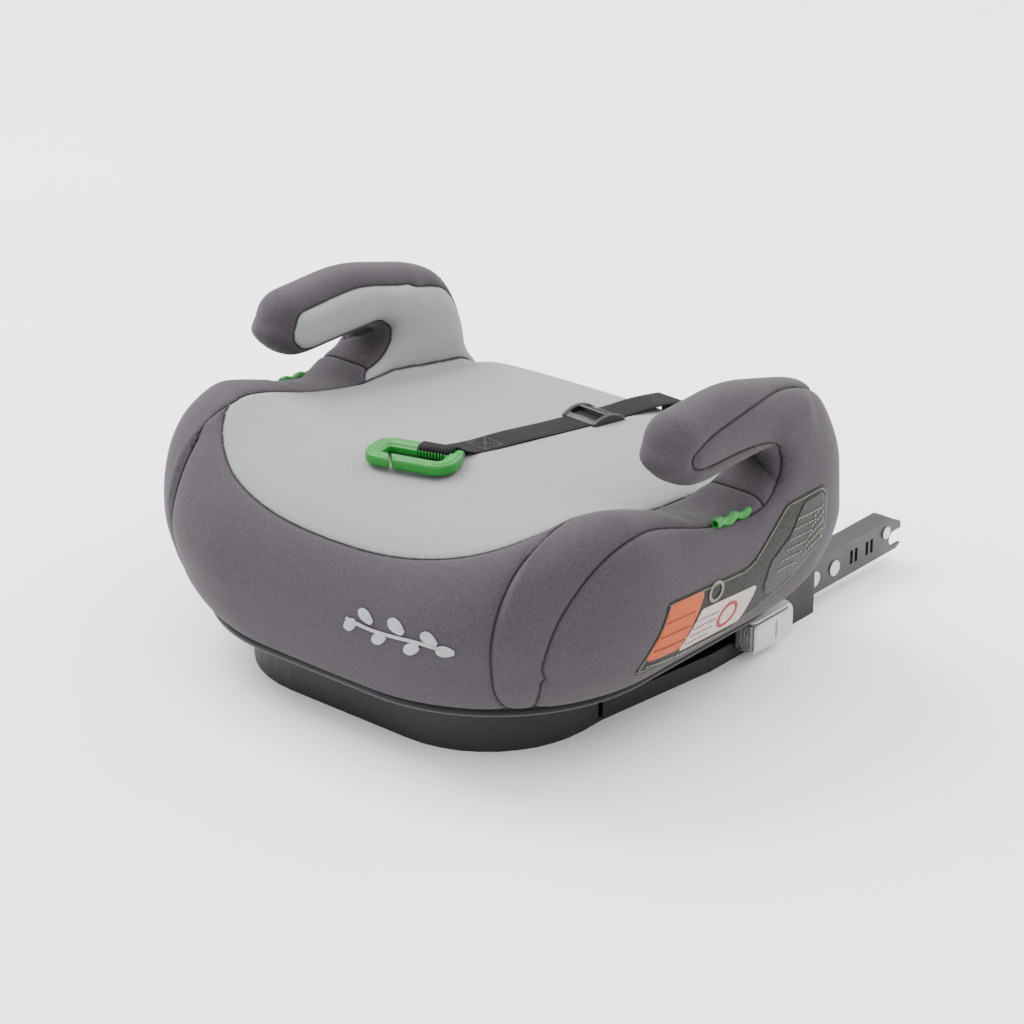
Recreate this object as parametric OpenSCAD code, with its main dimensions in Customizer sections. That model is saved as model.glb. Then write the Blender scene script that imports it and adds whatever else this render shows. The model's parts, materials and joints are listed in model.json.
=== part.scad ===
// Child's booster seat: padded fabric cover over a moulded shell, black base, and a
// pair of sliding anchor arms joined by a tube. +Y points to the back of the seat, +X to
// the sitter's left, Z = 0 is the surface it stands on and X = 0 is its mid-plane.

/* [Padded body] */
// Width over the padded sides
body_w = 424; // [410:2:436]
// Reach of the padded front ahead of the origin
front_reach = 245; // [238:1:255]
// Reach of the padded back behind the origin
rear_reach = 135; // [130:1:142]
// Plan radius of the front corners
front_corner_r = 130; // [110:5:140]
// Plan radius of the rear corners
rear_corner_r = 84; // [70:2:90]
// Thickness of the padded cover
cover_t = 12; // [11:1:14]
// Height of the armrest tops
armrest_top = 237; // [230:1:245]
// Width of the light seat insert
insert_w = 305; // [300:1:306]
// Rear end of the lap belt mouths under the armrests
mouth_rear = 22; // [10:1:30]
// Floor of the lap belt mouths
mouth_floor = 146; // [142:1:150]
// Roof of the lap belt mouths
mouth_roof = 190; // [186:1:192]

/* [Base] */
// Width of the base over its rails
base_w = 305.6; // [305.6:0.2:307]
// Width of the base nose
nose_w = 280; // [274:1:286]
// Reach of the base nose ahead of the origin
nose_reach = 205; // [198:1:210]
// Rear end of the base rails
rail_rear = 134; // [132:1:138]
// Wall of the base
base_wall = 2.6; // [2.2:0.1:2.8]

/* [Anchor arms] */
// Distance between the arm centres
arm_spacing = 280; // [279:0.5:281]
// Width of an arm head
arm_w = 17; // [16:0.5:17.5]
// Height of an arm head
arm_h = 27; // [26:0.5:28]
// Underside of an arm head above the floor
arm_z = 11; // [10.5:0.5:12]
// Tip of an arm head behind the origin
arm_tip = 250; // [246:1:254]
// Diameter of the hook pivot pin
hook_pin_d = 6; // [5:0.5:6]

/* [Strap and clip] */
// Width of the webbing
strap_w = 25; // [23:1:26]
// Length of the belt clip
clip_l = 72; // [68:1:76]
// Width of the belt clip
clip_w = 36; // [34:1:38]

/* [Hidden] */

$fn = 40;
// Clearance between pieces that only lie against each other
gap = 0.3;
// Overlap that joins the solids of one piece
join = 0.4;
// Overshoot of a cut past a face
past = 2;
// Largest turn between two points of a rounded corner
arc_step = 9;
// Thickness of the slices that the tapered body is hulled from
slice = 0.1;

// Padded body: height, side inset and front inset of each level, from hem to armrest top
hem_z = 45;
levels = [[hem_z, 34, 11], [76, 9, 3], [112, 0, 0], [150, 2, 3], [192, 9, 12], [armrest_top + 6, 24, 40]];
half_insert = insert_w / 2;
// Inner and outer faces of the armrest layers, from the mid-plane
inner_face = half_insert + gap;
core_in = 166;
core_out = 190;
// Front end of the armrest pieces, where the side bolster takes over
armrest_front = -64;
// Height that parts the armrest from the bolster below its tip
split_z = 183;
// Front end of the side panels
side_front = -186;
// Padding over the hard armrest core
core_pad = 13;
pan_z = 48;
pan_t = 8;
foam_z = pan_z + pan_t + gap;

// Seat surface in side view: the front roll and the straight slope to the back
slope_y = [-110, 150];
slope_z = [158, 127];
seat_fall = (slope_z[1] - slope_z[0]) / (slope_y[1] - slope_y[0]);
panel_t = 8;
function seat_z(y) = slope_z[0] + seat_fall * (y - slope_y[0]);

// Base
half_base = base_w / 2;
half_nose = nose_w / 2;
base_h = 47;
floor_t = 3;
skirt_end = -98;
flare_end = 8;
base_rear = 108;
high_base_rear = 90;
high_rail_rear = 54;
low_base_h = 43.4;
channel_feet = [-70, 20, 84];
recess_half = 118;
boss_d = 12;
boss_spots = [[0, -150], [-78, -120], [78, -120], [-78, 60], [78, 60], [0, 84]];
screw_d = 4;
pad_d = 26;
pad_t = 1.6;
pad_spots = [[-90, -140], [90, -140], [-95, 80], [95, 80]];

// Arms: everything sits between arm_in and arm_out on each side
arm_in = (arm_spacing - arm_w) / 2;
arm_out = (arm_spacing + arm_w) / 2;
arm_top = arm_z + arm_h;
plate_t = 2.5;
head_front = 122;
bar_t = 6;
bar_front = 20;
bar_low = 14;
bar_high = 36;
travel = 100;
jaw_low = 14.5;
jaw_high = 26.5;
jaw_depth = 15;
hook_y = 230;
hook_z = 29;
hook_t = 5;
hook_x = arm_spacing / 2;
running = 0.05;
rivet_spots = [[163, 24], [138, 24]];
head_t = 1.2;
rod_y = [62, 227.2];
rod_z = [16, 21];
rod_side = [140.6, 143.6];

// Handle housing, outboard of the base wall
housing_in = half_base + gap;
housing_out = 170.5;
housing_y = [36, 84];
housing_z = [6.5, 31];
housing_wall = 2;
neck_y = [44, 58];
neck_z = [15.5, 23.5];
slot_y = [-78, 78];
slot_z = [13.5, 25.5];

// Upstand of the shell behind the foam, which the strap's anchor is screwed to
upstand_half = 60;
upstand_y = 112;
upstand_top = 116;
upstand_outline = [[78, pan_z + 2], [96, pan_z + 2], [rear_reach - 11, 84], [rear_reach - 11, upstand_top],
    [upstand_y, upstand_top], [upstand_y, 88], [84, pan_z + pan_t + 2]];
anchor_z = [97, 117];
anchor_screw_z = 102;

// Strap: it runs forward from the back edge, turned a little towards the sitter's right
strap_root = [15, 135];
strap_turn = -3.5;
strap_t = 1.6;
strap_lift = 3.4;
loop_y = -243;
bar_r = 4;
loop_clear = 0.5;
clip_turn = 20;
clip_h = 8;
slider_y = -85;

// Points of an outline whose corners [x, y, radius] are rounded by arcs
function xy(row) = [row[0], row[1]];
function unit(v) = v / norm(v);
function corner_arc(before, row, after) =
    row[2] == 0 ? [xy(row)] :
    let (
        corner = xy(row),
        u = unit(before - corner),
        v = unit(after - corner),
        half = acos(u * v) / 2,
        centre = corner + unit(u + v) * row[2] / sin(half),
        first = corner + u * row[2] / tan(half) - centre,
        last = corner + v * row[2] / tan(half) - centre,
        start = atan2(first[1], first[0]),
        turn = (atan2(last[1], last[0]) - start + 540) % 360 - 180,
        steps = max(1, ceil(abs(turn) / arc_step))
    )
    [for (k = [0 : steps]) centre + row[2] * [cos(start + turn * k / steps), sin(start + turn * k / steps)]];
function rounded(rows) =
    let (n = len(rows))
    [for (i = [0 : n - 1]) each corner_arc(xy(rows[(i + n - 1) % n]), rows[i], xy(rows[(i + 1) % n]))];

// Side view of the padded side with its armrest and the open belt mouth
side_outline = rounded([
    [-front_reach - 20, 40, 0],
    [-front_reach - 20, 110, 0],
    [-198, 175, 60],
    [-140, 178, 70],
    [-58, mouth_floor, 60],
    [mouth_rear, mouth_floor, 18],
    [mouth_rear, mouth_roof, 10],
    [-97, mouth_roof - 4, 18],
    [-101, armrest_top - 3, 26],
    [-10, armrest_top + 3, 120],
    [rear_reach - 6, 200, 45],
    [rear_reach + 10, 40, 0]
]);

// Side view of everything under the seat surface, lowered by drop
function seat_outline(drop) = rounded([
    [-front_reach - 20, 30, 0],
    [-front_reach - 20, 112 - drop, 0],
    [-218, 148 - drop, 50],
    [slope_y[0], slope_z[0] - drop, 120],
    [slope_y[1], slope_z[1] - drop, 0],
    [slope_y[1], 30, 0]
]);

// Plan of the padded body, drawn in by side_inset at the sides and back and front_inset ahead
function plan_outline(side_inset, front_inset) =
    let (w = body_w / 2 - side_inset, f = front_inset - front_reach, r = rear_reach - side_inset)
    rounded([[w, f, front_corner_r], [w, r, rear_corner_r], [-w, r, rear_corner_r], [-w, f, front_corner_r]]);

// Plan of the base: broad round nose, then rails that flare out to their full width
function base_outline(inset) =
    let (n = half_nose - inset, w = half_base - inset, f = inset - nose_reach, r = rail_rear - inset)
    let (c = recess_half - inset, b = base_rear - inset)
    rounded([[n, f, 85 - inset], [n, skirt_end, 0], [w, flare_end, 0], [w, r, 2], [c + 2 * inset, r, 2],
        [c + 2 * inset, b, 0], [-c - 2 * inset, b, 0], [-c - 2 * inset, r, 2], [-w, r, 2],
        [-w, flare_end, 0], [-n, skirt_end, 0], [-n, f, 85 - inset]]);

// A block between two corners
module block(low, high) {
    translate(low) cube(high - low);
}

// A side view outline given thickness from x0 to x1
module side_slab(x0, x1) {
    translate([x0, 0, 0]) rotate([90, 0, 90]) linear_extrude(x1 - x0) children();
}

// A cylinder along X
module rod_x(d, x0, x1, y, z) {
    translate([x0, y, z]) rotate([0, 90, 0]) cylinder(d = d, h = x1 - x0);
}

// Mirrors a piece modelled on the sitter's left to the side named by 1 or -1
module on_side(side) {
    mirror([side < 0 ? 1 : 0, 0, 0]) children();
}

// The padded body, drawn in by inset
module cover_body(inset) {
    for (k = [0 : len(levels) - 2]) {
        hull() {
            translate([0, 0, levels[k][0]])
                linear_extrude(slice) polygon(plan_outline(levels[k][1] + inset, levels[k][2] + inset));
            translate([0, 0, levels[k + 1][0] - slice])
                linear_extrude(slice) polygon(plan_outline(levels[k + 1][1] + inset, levels[k + 1][2] + inset));
        }
    }
}

// Space of the armrest layers: behind the bolster, and over it above the split
module armrest_zone(x0, x1, front) {
    block([x0, front, foam_z], [x1, rear_reach, armrest_top + past]);
    block([x0, -front_reach / 2, split_z], [x1, front + 1, armrest_top + past]);
}

// The padded cover wall between the outer face and the depth of the cover
module cover_wall() {
    difference() {
        cover_body(0);
        translate([0, 0, -slice]) cover_body(cover_t);
        translate([0, 0, slice]) cover_body(cover_t);
    }
}

// A helical spring along +Z
module coil(coil_r, wire_r, turns, length) {
    coil_steps = 12;
    sides = 6;
    rings = turns * coil_steps;
    points = [for (i = [0 : rings]) for (j = [0 : sides - 1])
        let (a = 360 * i / coil_steps, b = 360 * j / sides, r = coil_r + wire_r * cos(b))
        [r * cos(a), r * sin(a), wire_r + (length - 2 * wire_r) * i / rings + wire_r * sin(b)]];
    skin = [for (i = [0 : rings - 1]) for (j = [0 : sides - 1]) for (half = [0, 1])
        let (a = i * sides + j, b = i * sides + (j + 1) % sides)
        half == 0 ? [a, b, b + sides] : [a, b + sides, a + sides]];
    start_cap = [for (j = [0 : sides - 1]) sides - 1 - j];
    end_cap = [for (j = [0 : sides - 1]) rings * sides + j];
    polyhedron(points, concat(skin, [start_cap], [end_cap]), convexity = 10);
}

// ---- Base ----

module base_shell() {
    color("#2b2b2e") difference() {
        union() {
            difference() {
                linear_extrude(base_h) polygon(base_outline(0));
                translate([0, 0, floor_t]) linear_extrude(base_h) polygon(base_outline(base_wall));
                for (side = [-1, 1]) {
                    on_side(side) {
                        // Slot that the handle neck travels along
                        block([half_nose - 8, slot_y[0], slot_z[0]], [half_base + past, slot_y[1], slot_z[1]]);
                        // Open end of the rail, where the arm comes out
                        block([arm_in - 2, rail_rear - 4, arm_z - 1.5], [half_base - base_wall, rail_rear + past, arm_top + 1.5]);
                        // Notch between the nose skirt and the rail
                        block([half_nose - 3, skirt_end - 5, floor_t], [half_base + past, skirt_end, base_h + past]);
                    }
                }
            }
            for (spot = boss_spots) {
                translate([spot[0], spot[1], floor_t - join]) cylinder(d = boss_d, h = pan_z - gap - floor_t + join);
            }
            // Lids over the rear ends of the rails
            for (side = [-1, 1]) {
                on_side(side) block([recess_half, high_rail_rear, low_base_h - 2.5], [half_base, rail_rear, low_base_h]);
            }
        }
        for (spot = boss_spots) {
            translate([spot[0], spot[1], -past]) cylinder(d = screw_d + 0.6, h = pan_z + 2 * past);
            translate([spot[0], spot[1], -past]) cylinder(d = 9, h = 4 + past);
        }
        for (spot = pad_spots) {
            translate([spot[0], spot[1], -past]) cylinder(d = pad_d + 0.4, h = pad_t + past);
        }
        // The base is lower behind, where the cover's hem passes over it
        block([-body_w / 2, high_base_rear, low_base_h], [body_w / 2, rail_rear + past, pan_z]);
        for (side = [-1, 1]) {
            on_side(side) {
                block([recess_half - 8, high_rail_rear, low_base_h], [body_w / 2, rail_rear + past, pan_z]);
                for (y = channel_feet) {
                    translate([arm_in - 9.3, y, -past]) cylinder(d = screw_d + 0.6, h = floor_t + 2 * past);
                }
            }
        }
    }
}

module base_floor_pads() {
    color("#1c1c1d") for (spot = pad_spots) {
        translate([spot[0], spot[1], 0]) difference() {
            cylinder(d = pad_d, h = pad_t);
            translate([0, 0, -past]) cylinder(d = pad_d / 3, h = past + 0.7);
        }
    }
}

module guide_channel(side) {
    wall_in = arm_in - 3.3;
    lip_out = half_base - base_wall - gap;
    lip_front = half_nose - base_wall - gap - 1;
    color("#3a3a3d") on_side(side) difference() {
        union() {
            block([wall_in, skirt_end + 4, arm_z - 2.6], [wall_in + 2.9, rail_rear - 4.5, arm_top + 2.6]);
            for (z = [arm_z - 2.6, arm_top + 0.5]) {
                translate([0, 0, z]) linear_extrude(2.1) polygon([
                    [wall_in, skirt_end + 4], [lip_front, skirt_end + 4], [lip_out, flare_end],
                    [lip_out, rail_rear - 4.5], [wall_in, rail_rear - 4.5]]);
            }
            // Feet that stand on the base floor
            for (y = channel_feet) {
                block([wall_in - 12, y - 8, floor_t + 0.05], [wall_in + join, y + 8, floor_t + 3]);
                block([wall_in, y - 8, floor_t + 0.05], [wall_in + 2.9, y + 8, arm_z]);
            }
        }
        for (y = channel_feet) {
            translate([wall_in - 6, y, 0]) cylinder(d = screw_d + 0.4, h = 12);
        }
        // Window for the cross tube along its travel
        block([wall_in - past, bar_front - travel - 2, 16], [wall_in + 5, bar_front + 22, 34]);
    }
}

module channel_screws() {
    color("silver") for (side = [-1, 1]) {
        on_side(side) for (y = channel_feet) {
            translate([arm_in - 9.3, y, floor_t + 3.1]) {
                cylinder(d = 8, h = 2.4);
                translate([0, 0, -5.4]) cylinder(d = screw_d, h = 5.6);
            }
        }
    }
}

module shell_screws() {
    color("silver") for (spot = boss_spots) {
        translate([spot[0], spot[1], 0]) {
            translate([0, 0, 1]) difference() {
                cylinder(d = 8.2, h = 2.9);
                translate([-0.7, -3, -past]) cube([1.4, 6, past + 1.2]);
                translate([-3, -0.7, -past]) cube([6, 1.4, past + 1.2]);
            }
            translate([0, 0, 3.5]) cylinder(d = screw_d, h = pan_z + 4 - 3.5);
        }
    }
}

// ---- Shell and padding ----

// Holes for the strap anchor's two screws
module anchor_holes() {
    strap_frame() for (x = [-15, 15]) {
        translate([x, -22, anchor_screw_z]) rotate([-90, 0, 0]) cylinder(d = screw_d + 0.6, h = 30);
    }
}

module seat_shell() {
    color("#55565a") difference() {
        intersection() {
            cover_body(cover_t + 0.8);
            union() {
                block([-body_w / 2, -front_reach, pan_z], [body_w / 2, rear_reach, pan_z + pan_t]);
                side_slab(-upstand_half, upstand_half) polygon(upstand_outline);
                for (side = [-1, 1]) {
                    on_side(side) intersection() {
                        side_slab(core_in + gap, core_out - gap) offset(delta = -core_pad) polygon(side_outline);
                        union() {
                            armrest_zone(core_in, core_out, armrest_front + 14);
                            block([core_in, armrest_front + 14, pan_z], [core_out, rear_reach, foam_z + join]);
                        }
                    }
                }
            }
        }
        for (spot = boss_spots) {
            translate([spot[0], spot[1], pan_z - past]) cylinder(d = screw_d + 0.4, h = past + 5);
        }
        anchor_holes();
    }
}

module seat_foam() {
    color("#d8d2bf") intersection() {
        cover_body(cover_t + 0.5);
        difference() {
            block([-half_insert, -front_reach, foam_z], [half_insert, rear_reach, armrest_top]);
            side_slab(-upstand_half - 1, upstand_half + 1) offset(delta = 1) polygon(upstand_outline);
        }
        side_slab(-body_w / 2, body_w / 2) polygon(seat_outline(panel_t + 0.1));
    }
}

module seat_panel() {
    color("#c3c3c4") intersection() {
        cover_body(cover_t + gap);
        block([-half_insert, -front_reach, foam_z], [half_insert, rear_reach, armrest_top]);
        side_slab(-body_w / 2, body_w / 2) difference() {
            polygon(seat_outline(0));
            polygon(seat_outline(panel_t));
        }
    }
}

module front_panel() {
    color("#6b666c") intersection() {
        cover_wall();
        block([-half_insert, -front_reach - past, hem_z + 3.3], [half_insert, 0, armrest_top]);
        side_slab(-body_w / 2, body_w / 2) polygon(seat_outline(0));
    }
}

module rear_panel() {
    color("#6b666c") difference() {
        intersection() {
            cover_wall();
            block([-half_insert, 0, hem_z + 3.3], [half_insert, rear_reach + past, armrest_top]);
            side_slab(-body_w / 2, body_w / 2) polygon(seat_outline(0));
        }
        anchor_holes();
    }
}

// Front bolster beside the thigh, with the fabric strip that turns the front corner
module side_band(side) {
    color("#736e74") on_side(side) intersection() {
        side_slab(0, body_w / 2) polygon(side_outline);
        union() {
            intersection() {
                cover_body(0);
                block([inner_face, -front_reach - past, hem_z + 3.3], [body_w / 2, side_front, armrest_top]);
            }
            intersection() {
                cover_body(cover_t + gap);
                block([inner_face, -front_reach, foam_z], [core_out - gap, armrest_front, split_z - gap]);
            }
        }
        block([0, -front_reach - past, foam_z], [body_w, armrest_front, split_z - gap]);
    }
}

module side_panel(side) {
    color("#6b666c") on_side(side) intersection() {
        cover_wall();
        side_slab(0, body_w / 2 + past) polygon(side_outline);
        block([inner_face, side_front + gap, hem_z + 3.3], [body_w, rear_reach + past, armrest_top + past]);
    }
}

// Dark strip and padding round the rim of the armrest
module armrest_band(side) {
    color("#7a757b") on_side(side) intersection() {
        cover_body(cover_t + gap);
        side_slab(core_in, core_out - gap) difference() {
            polygon(side_outline);
            offset(delta = gap - core_pad) polygon(side_outline);
        }
        union() {
            armrest_zone(core_in, core_out, armrest_front + gap);
        }
    }
}

// Light inner face of the armrest
module armrest_inner(side) {
    color("#a9a9ab") on_side(side) intersection() {
        cover_body(cover_t + gap);
        side_slab(inner_face, core_in - gap) polygon(side_outline);
        union() {
            armrest_zone(inner_face, core_in, armrest_front + gap);
        }
    }
}

// Bound elastic edge of the cover, drawn under the shell
module hem_binding() {
    color("#4a474b") translate([0, 0, hem_z - 1]) linear_extrude(pan_z - gap - hem_z + 1) difference() {
        polygon(plan_outline(33, 10));
        polygon(plan_outline(43, 20));
    }
}

// Wavy green strip that marks the belt path on the sill of the belt mouth
module belt_guide(side) {
    length = 52;
    wave = [for (k = [0 : 26]) [k * 2, 5.2 + 1.4 * sin(k * 2 * 360 / 15)]];
    color("#38a04a") on_side(side) intersection() {
        translate([core_out + 2, mouth_rear - 70, mouth_floor + 0.35]) rotate([90, 0, 90])
            linear_extrude(7) polygon(concat([[0, 0]], wave, [[length, 0]]));
        block([core_out, -58, mouth_floor], [body_w / 2, mouth_rear, mouth_roof]);
    }
}

module side_label() {
    color("#5c6356") intersection() {
        difference() {
            cover_body(-0.9);
            translate([0, 0, -slice]) cover_body(-0.15);
            translate([0, 0, slice]) cover_body(-0.15);
        }
        side_slab(body_w / 4, body_w / 2 + past) polygon(rounded([
            [-138, 68, 8], [-118, 118, 10], [-18, 112, 12], [14, 146, 12],
            [58, 146, 12], [52, 108, 20], [20, 84, 12], [-34, 64, 10]]));
    }
}

// Small raised motif on the front: a generic crest of three leaves
module front_emblem() {
    lean = atan((levels[1][2] - levels[2][2]) / (levels[2][0] - levels[1][0]));
    drop = 16;
    color("#c8c8cb") translate([74, drop * tan(lean) - front_reach, levels[2][0] - drop]) rotate([90 + lean, 0, 0]) {
        for (turn = [-48, 0, 48]) {
            rotate([0, 0, turn]) translate([0, 3, 0.2]) linear_extrude(1.6) intersection() {
                translate([-7, 8]) circle(r = 11);
                translate([7, 8]) circle(r = 11);
            }
        }
        translate([0, -1, 0.2]) cylinder(d = 9, h = 1.6);
    }
}

// ---- Strap, slider and clip ----

// Moves into the strap's own frame: origin at the back edge, Y along the webbing
module strap_frame() {
    translate([strap_root[0], strap_root[1], 0]) rotate([0, 0, strap_turn]) children();
}

// Height of the webbing's underside at y in the strap's frame
function strap_z(y) = seat_z(strap_root[1] + y) + strap_lift;

loop_z = strap_z(loop_y) + 3.9;

module strap_anchor() {
    color("#2f2f31") strap_frame() difference() {
        block([-22, 5, anchor_z[0]], [22, 7.6, anchor_z[1]]);
        block([-strap_w / 2 - 0.5, 4, anchor_z[1] - 5], [strap_w / 2 + 0.5, 9, anchor_z[1] - 2.6]);
        for (x = [-15, 15]) {
            translate([x, 4, anchor_screw_z]) rotate([-90, 0, 0]) cylinder(d = screw_d + 0.4, h = 6);
        }
    }
}

module strap_anchor_screws() {
    color("silver") strap_frame() for (x = [-15, 15]) {
        translate([x, 7.7, anchor_screw_z]) rotate([-90, 0, 0]) cylinder(d = 8, h = 2);
        translate([x, -18, anchor_screw_z]) rotate([-90, 0, 0]) cylinder(d = screw_d, h = 26);
    }
}

// Webbing: loop round the clip's bar, the run over the seat, the fold down the back
module belt_strap() {
    run_front = loop_y + 7;
    strap_end = anchor_z[1] - 4.4;
    color("#47474a") strap_frame() {
        difference() {
            union() {
                side_slab(-strap_w / 2, strap_w / 2) polygon([
                    [run_front, strap_z(run_front)], [3, strap_z(3)], [3, strap_end], [3 + strap_t, strap_end],
                    [3 + strap_t, strap_z(4.6) + strap_t], [run_front, strap_z(run_front) + strap_t]]);
                // Second layer between the loop and the slider
                side_slab(-strap_w / 2, strap_w / 2) polygon([
                    [run_front, strap_z(run_front) - 1.5], [-112, strap_z(-112) - 1.5],
                    [-112, strap_z(-112) + join], [run_front, strap_z(run_front) + join]]);
                // End sewn through the anchor plate
                block([-strap_w / 2, 3, strap_end], [strap_w / 2, 8.8, strap_end + 1.2]);
                translate([0, loop_y, loop_z]) rotate([0, 0, clip_turn])
                    rod_x(2 * (bar_r + loop_clear + 1.5), -strap_w / 2, strap_w / 2, 0, 0);
            }
            translate([0, loop_y, loop_z]) rotate([0, 0, clip_turn])
                rod_x(2 * (bar_r + loop_clear), -strap_w, strap_w, 0, 0);
        }
    }
}

// Three-bar slider that the webbing threads through
module strap_slider() {
    half_l = 17;
    inner = strap_w / 2 + 0.5;
    outer = inner + 3.5;
    rise = atan(seat_fall);
    color("#3c3c3e") strap_frame() translate([0, slider_y, strap_z(slider_y)]) rotate([rise, 0, 0]) {
        for (side = [-1, 1]) {
            translate([side * (inner + outer) / 2, 0, 1.1]) cube([outer - inner, 2 * half_l, 6.2], center = true);
        }
        for (y = [-half_l + 2.5, 0, half_l - 2.5]) {
            block([-outer, y - 2.5, strap_t + gap], [outer, y + 2.5, 4.2]);
        }
        block([-outer, -3, -2], [outer, 3, -gap]);
    }
}

// Closed ring with a slanted slit in its front bar and a round bar for the webbing loop
module belt_clip() {
    ring_shift = -14;
    color("#35a847") strap_frame() translate([0, loop_y, loop_z]) rotate([0, 0, clip_turn]) {
        difference() {
            translate([ring_shift, -clip_w / 2 + 4, -clip_h / 2]) linear_extrude(clip_h) difference() {
                polygon(rounded([[-clip_l / 2, -clip_w / 2, 15], [clip_l / 2, -clip_w / 2, 15],
                    [clip_l / 2, clip_w / 2, 13], [-clip_l / 2, clip_w / 2, 13]]));
                polygon(rounded([[-clip_l / 2 + 8, -clip_w / 2 + 9, 8], [clip_l / 2 - 8, -clip_w / 2 + 9, 8],
                    [clip_l / 2 - 8, clip_w / 2 - 8, 9], [-clip_l / 2 + 8, clip_w / 2 - 8, 9]]));
            }
            // Room for the webbing loop
            block([-strap_w / 2 - 4.5, -7, -clip_h], [strap_w / 2 + 4.5, 9, clip_h]);
            // Slit that the belt slips in through
            translate([ring_shift - 8, -clip_w, 0]) rotate([0, 0, 30]) cube([1.8, 26, 2 * clip_h], center = true);
        }
        rod_x(2 * bar_r, -strap_w / 2 - 6, strap_w / 2 + 6, 0, 0);
    }
}

// ---- Anchor arms and their carriage ----

module arm(side) {
    cavity_in = arm_in + plate_t;
    cavity_out = arm_out - plate_t;
    color("#2c2c2e") on_side(side) difference() {
        union() {
            side_slab(arm_in, arm_out) polygon(rounded([[head_front, arm_z, 2], [arm_tip - 5, arm_z, 0],
                [arm_tip, arm_z + 3, 0], [arm_tip, arm_top - 6, 4], [arm_tip - 12, arm_top, 6], [head_front, arm_top, 2]]));
            block([arm_in, bar_front, bar_low], [arm_in + bar_t, head_front + 6, bar_high]);
        }
        // Hollow for the hook and its rod
        block([cavity_in, head_front - past, arm_z + 1.6], [cavity_out, arm_tip + past, arm_top - 2]);
        block([cavity_in, 222, arm_z - past], [cavity_out, arm_tip + past, arm_top - 2]);
        // Jaw that takes the anchor bar
        block([arm_in - past, arm_tip - jaw_depth + 6, jaw_low], [arm_out + past, arm_tip + past, jaw_high]);
        rod_x(jaw_high - jaw_low, arm_in - past, arm_out + past, arm_tip - jaw_depth + 6, (jaw_low + jaw_high) / 2);
        // Louvres in both side plates
        for (y = [184, 190, 204, 210]) {
            block([arm_in - past, y, 19], [arm_out + past, y + 3.4, 30]);
        }
        rod_x(hook_pin_d + 0.02, arm_in - past, arm_out + past, hook_y, hook_z);
        for (spot = rivet_spots) {
            rod_x(6, arm_in - past, arm_out + past, spot[0], spot[1]);
        }
        // Tapped hole for the cross tube's screw
        rod_x(5, arm_in - past, arm_in + bar_t + past, bar_front + 10, 25);
    }
}

module arm_rivets(side) {
    color("silver") on_side(side) for (spot = rivet_spots) {
        rod_x(5.9, arm_in, arm_out + 1, spot[0], spot[1]);
        rod_x(12, arm_out + 0.1, arm_out + head_t, spot[0], spot[1]);
    }
}

module hook_pin(side) {
    color("silver") on_side(side) {
        rod_x(hook_pin_d, arm_in, arm_out + 1, hook_y, hook_z);
        rod_x(9.5, arm_out + 0.1, arm_out + head_t, hook_y, hook_z);
    }
}

module cross_tube() {
    half_l = arm_in - gap;
    color("#8d9094") difference() {
        rod_x(14, -half_l, half_l, bar_front + 10, 25);
        rod_x(10, -half_l - past, half_l + past, bar_front + 10, 25);
    }
    color("#8d9094") for (side = [-1, 1]) {
        on_side(side) difference() {
            rod_x(10.2, half_l - 14, half_l, bar_front + 10, 25);
            rod_x(4.2, half_l - 15, half_l + past, bar_front + 10, 25);
        }
    }
}

module tube_screws() {
    color("silver") for (side = [-1, 1]) {
        on_side(side) {
            rod_x(4, arm_in - 12, arm_in + bar_t + 0.2, bar_front + 10, 25);
            rod_x(9, arm_in + bar_t + 0.1, arm_in + bar_t + 2.2, bar_front + 10, 25);
        }
    }
}

// Grey housing outboard of the rail: open at the front for the button
module handle_housing(side) {
    color("#d6d6d2") on_side(side) difference() {
        union() {
            translate([0, 0, housing_z[0]]) linear_extrude(housing_z[1] - housing_z[0]) polygon(rounded([
                [housing_in, housing_y[0], 0], [housing_out, housing_y[0], 3],
                [housing_out, housing_y[1], 6], [housing_in, housing_y[1], 0]]));
            // Neck through the base slot to the arm's bar
            block([arm_in + bar_t + 0.05, neck_y[0], neck_z[0]], [housing_in + join, neck_y[1], neck_z[1]]);
        }
        block([housing_in + housing_wall, housing_y[0] - past, housing_z[0] + housing_wall],
            [housing_out - housing_wall, housing_y[1] - 3, housing_z[1] - housing_wall]);
        // Window that the rod's crank passes through
        block([housing_in - past, neck_y[1] + 1, neck_z[0]], [housing_in + housing_wall + past, 76, neck_z[1]]);
        // Viewing slit for the status flag
        block([housing_out - housing_wall - 1, 61, 12], [housing_out + past, 63, 26]);
    }
}

module housing_cap(side) {
    color("#c9c9c5") on_side(side) difference() {
        translate([0, 0, housing_z[1] + 0.05]) linear_extrude(1.4) polygon(rounded([
            [housing_in + 1, housing_y[0] + 2, 1], [housing_out - 1.5, housing_y[0] + 2, 2],
            [housing_out - 1.5, housing_y[1] - 2, 5], [housing_in + 1, housing_y[1] - 2, 1]]));
        block([housing_in + 5, 50, housing_z[1] + 0.9], [housing_out - 5, 72, housing_z[1] + past]);
    }
}

module release_button(side) {
    low = [housing_in + housing_wall + gap, housing_y[0] - 3, housing_z[0] + housing_wall + gap];
    high = [housing_out - housing_wall - gap, housing_y[0] + 14, housing_z[1] - housing_wall - gap];
    color("#a5a5a4") on_side(side) difference() {
        block(low, high);
        // Grip ribs on the pressed face
        for (x = [low[0] + 2.4 : 3 : high[0] - 3]) {
            block([x, low[1] - past, low[2] + 3], [x + 1.3, low[1] + 0.9, high[2] - 3]);
        }
        // Seat of the return spring
        translate([low[0] + 4.2, high[1] - 8, 12.4]) rotate([-90, 0, 0]) cylinder(d = 6, h = 8 + past);
    }
}

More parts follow.
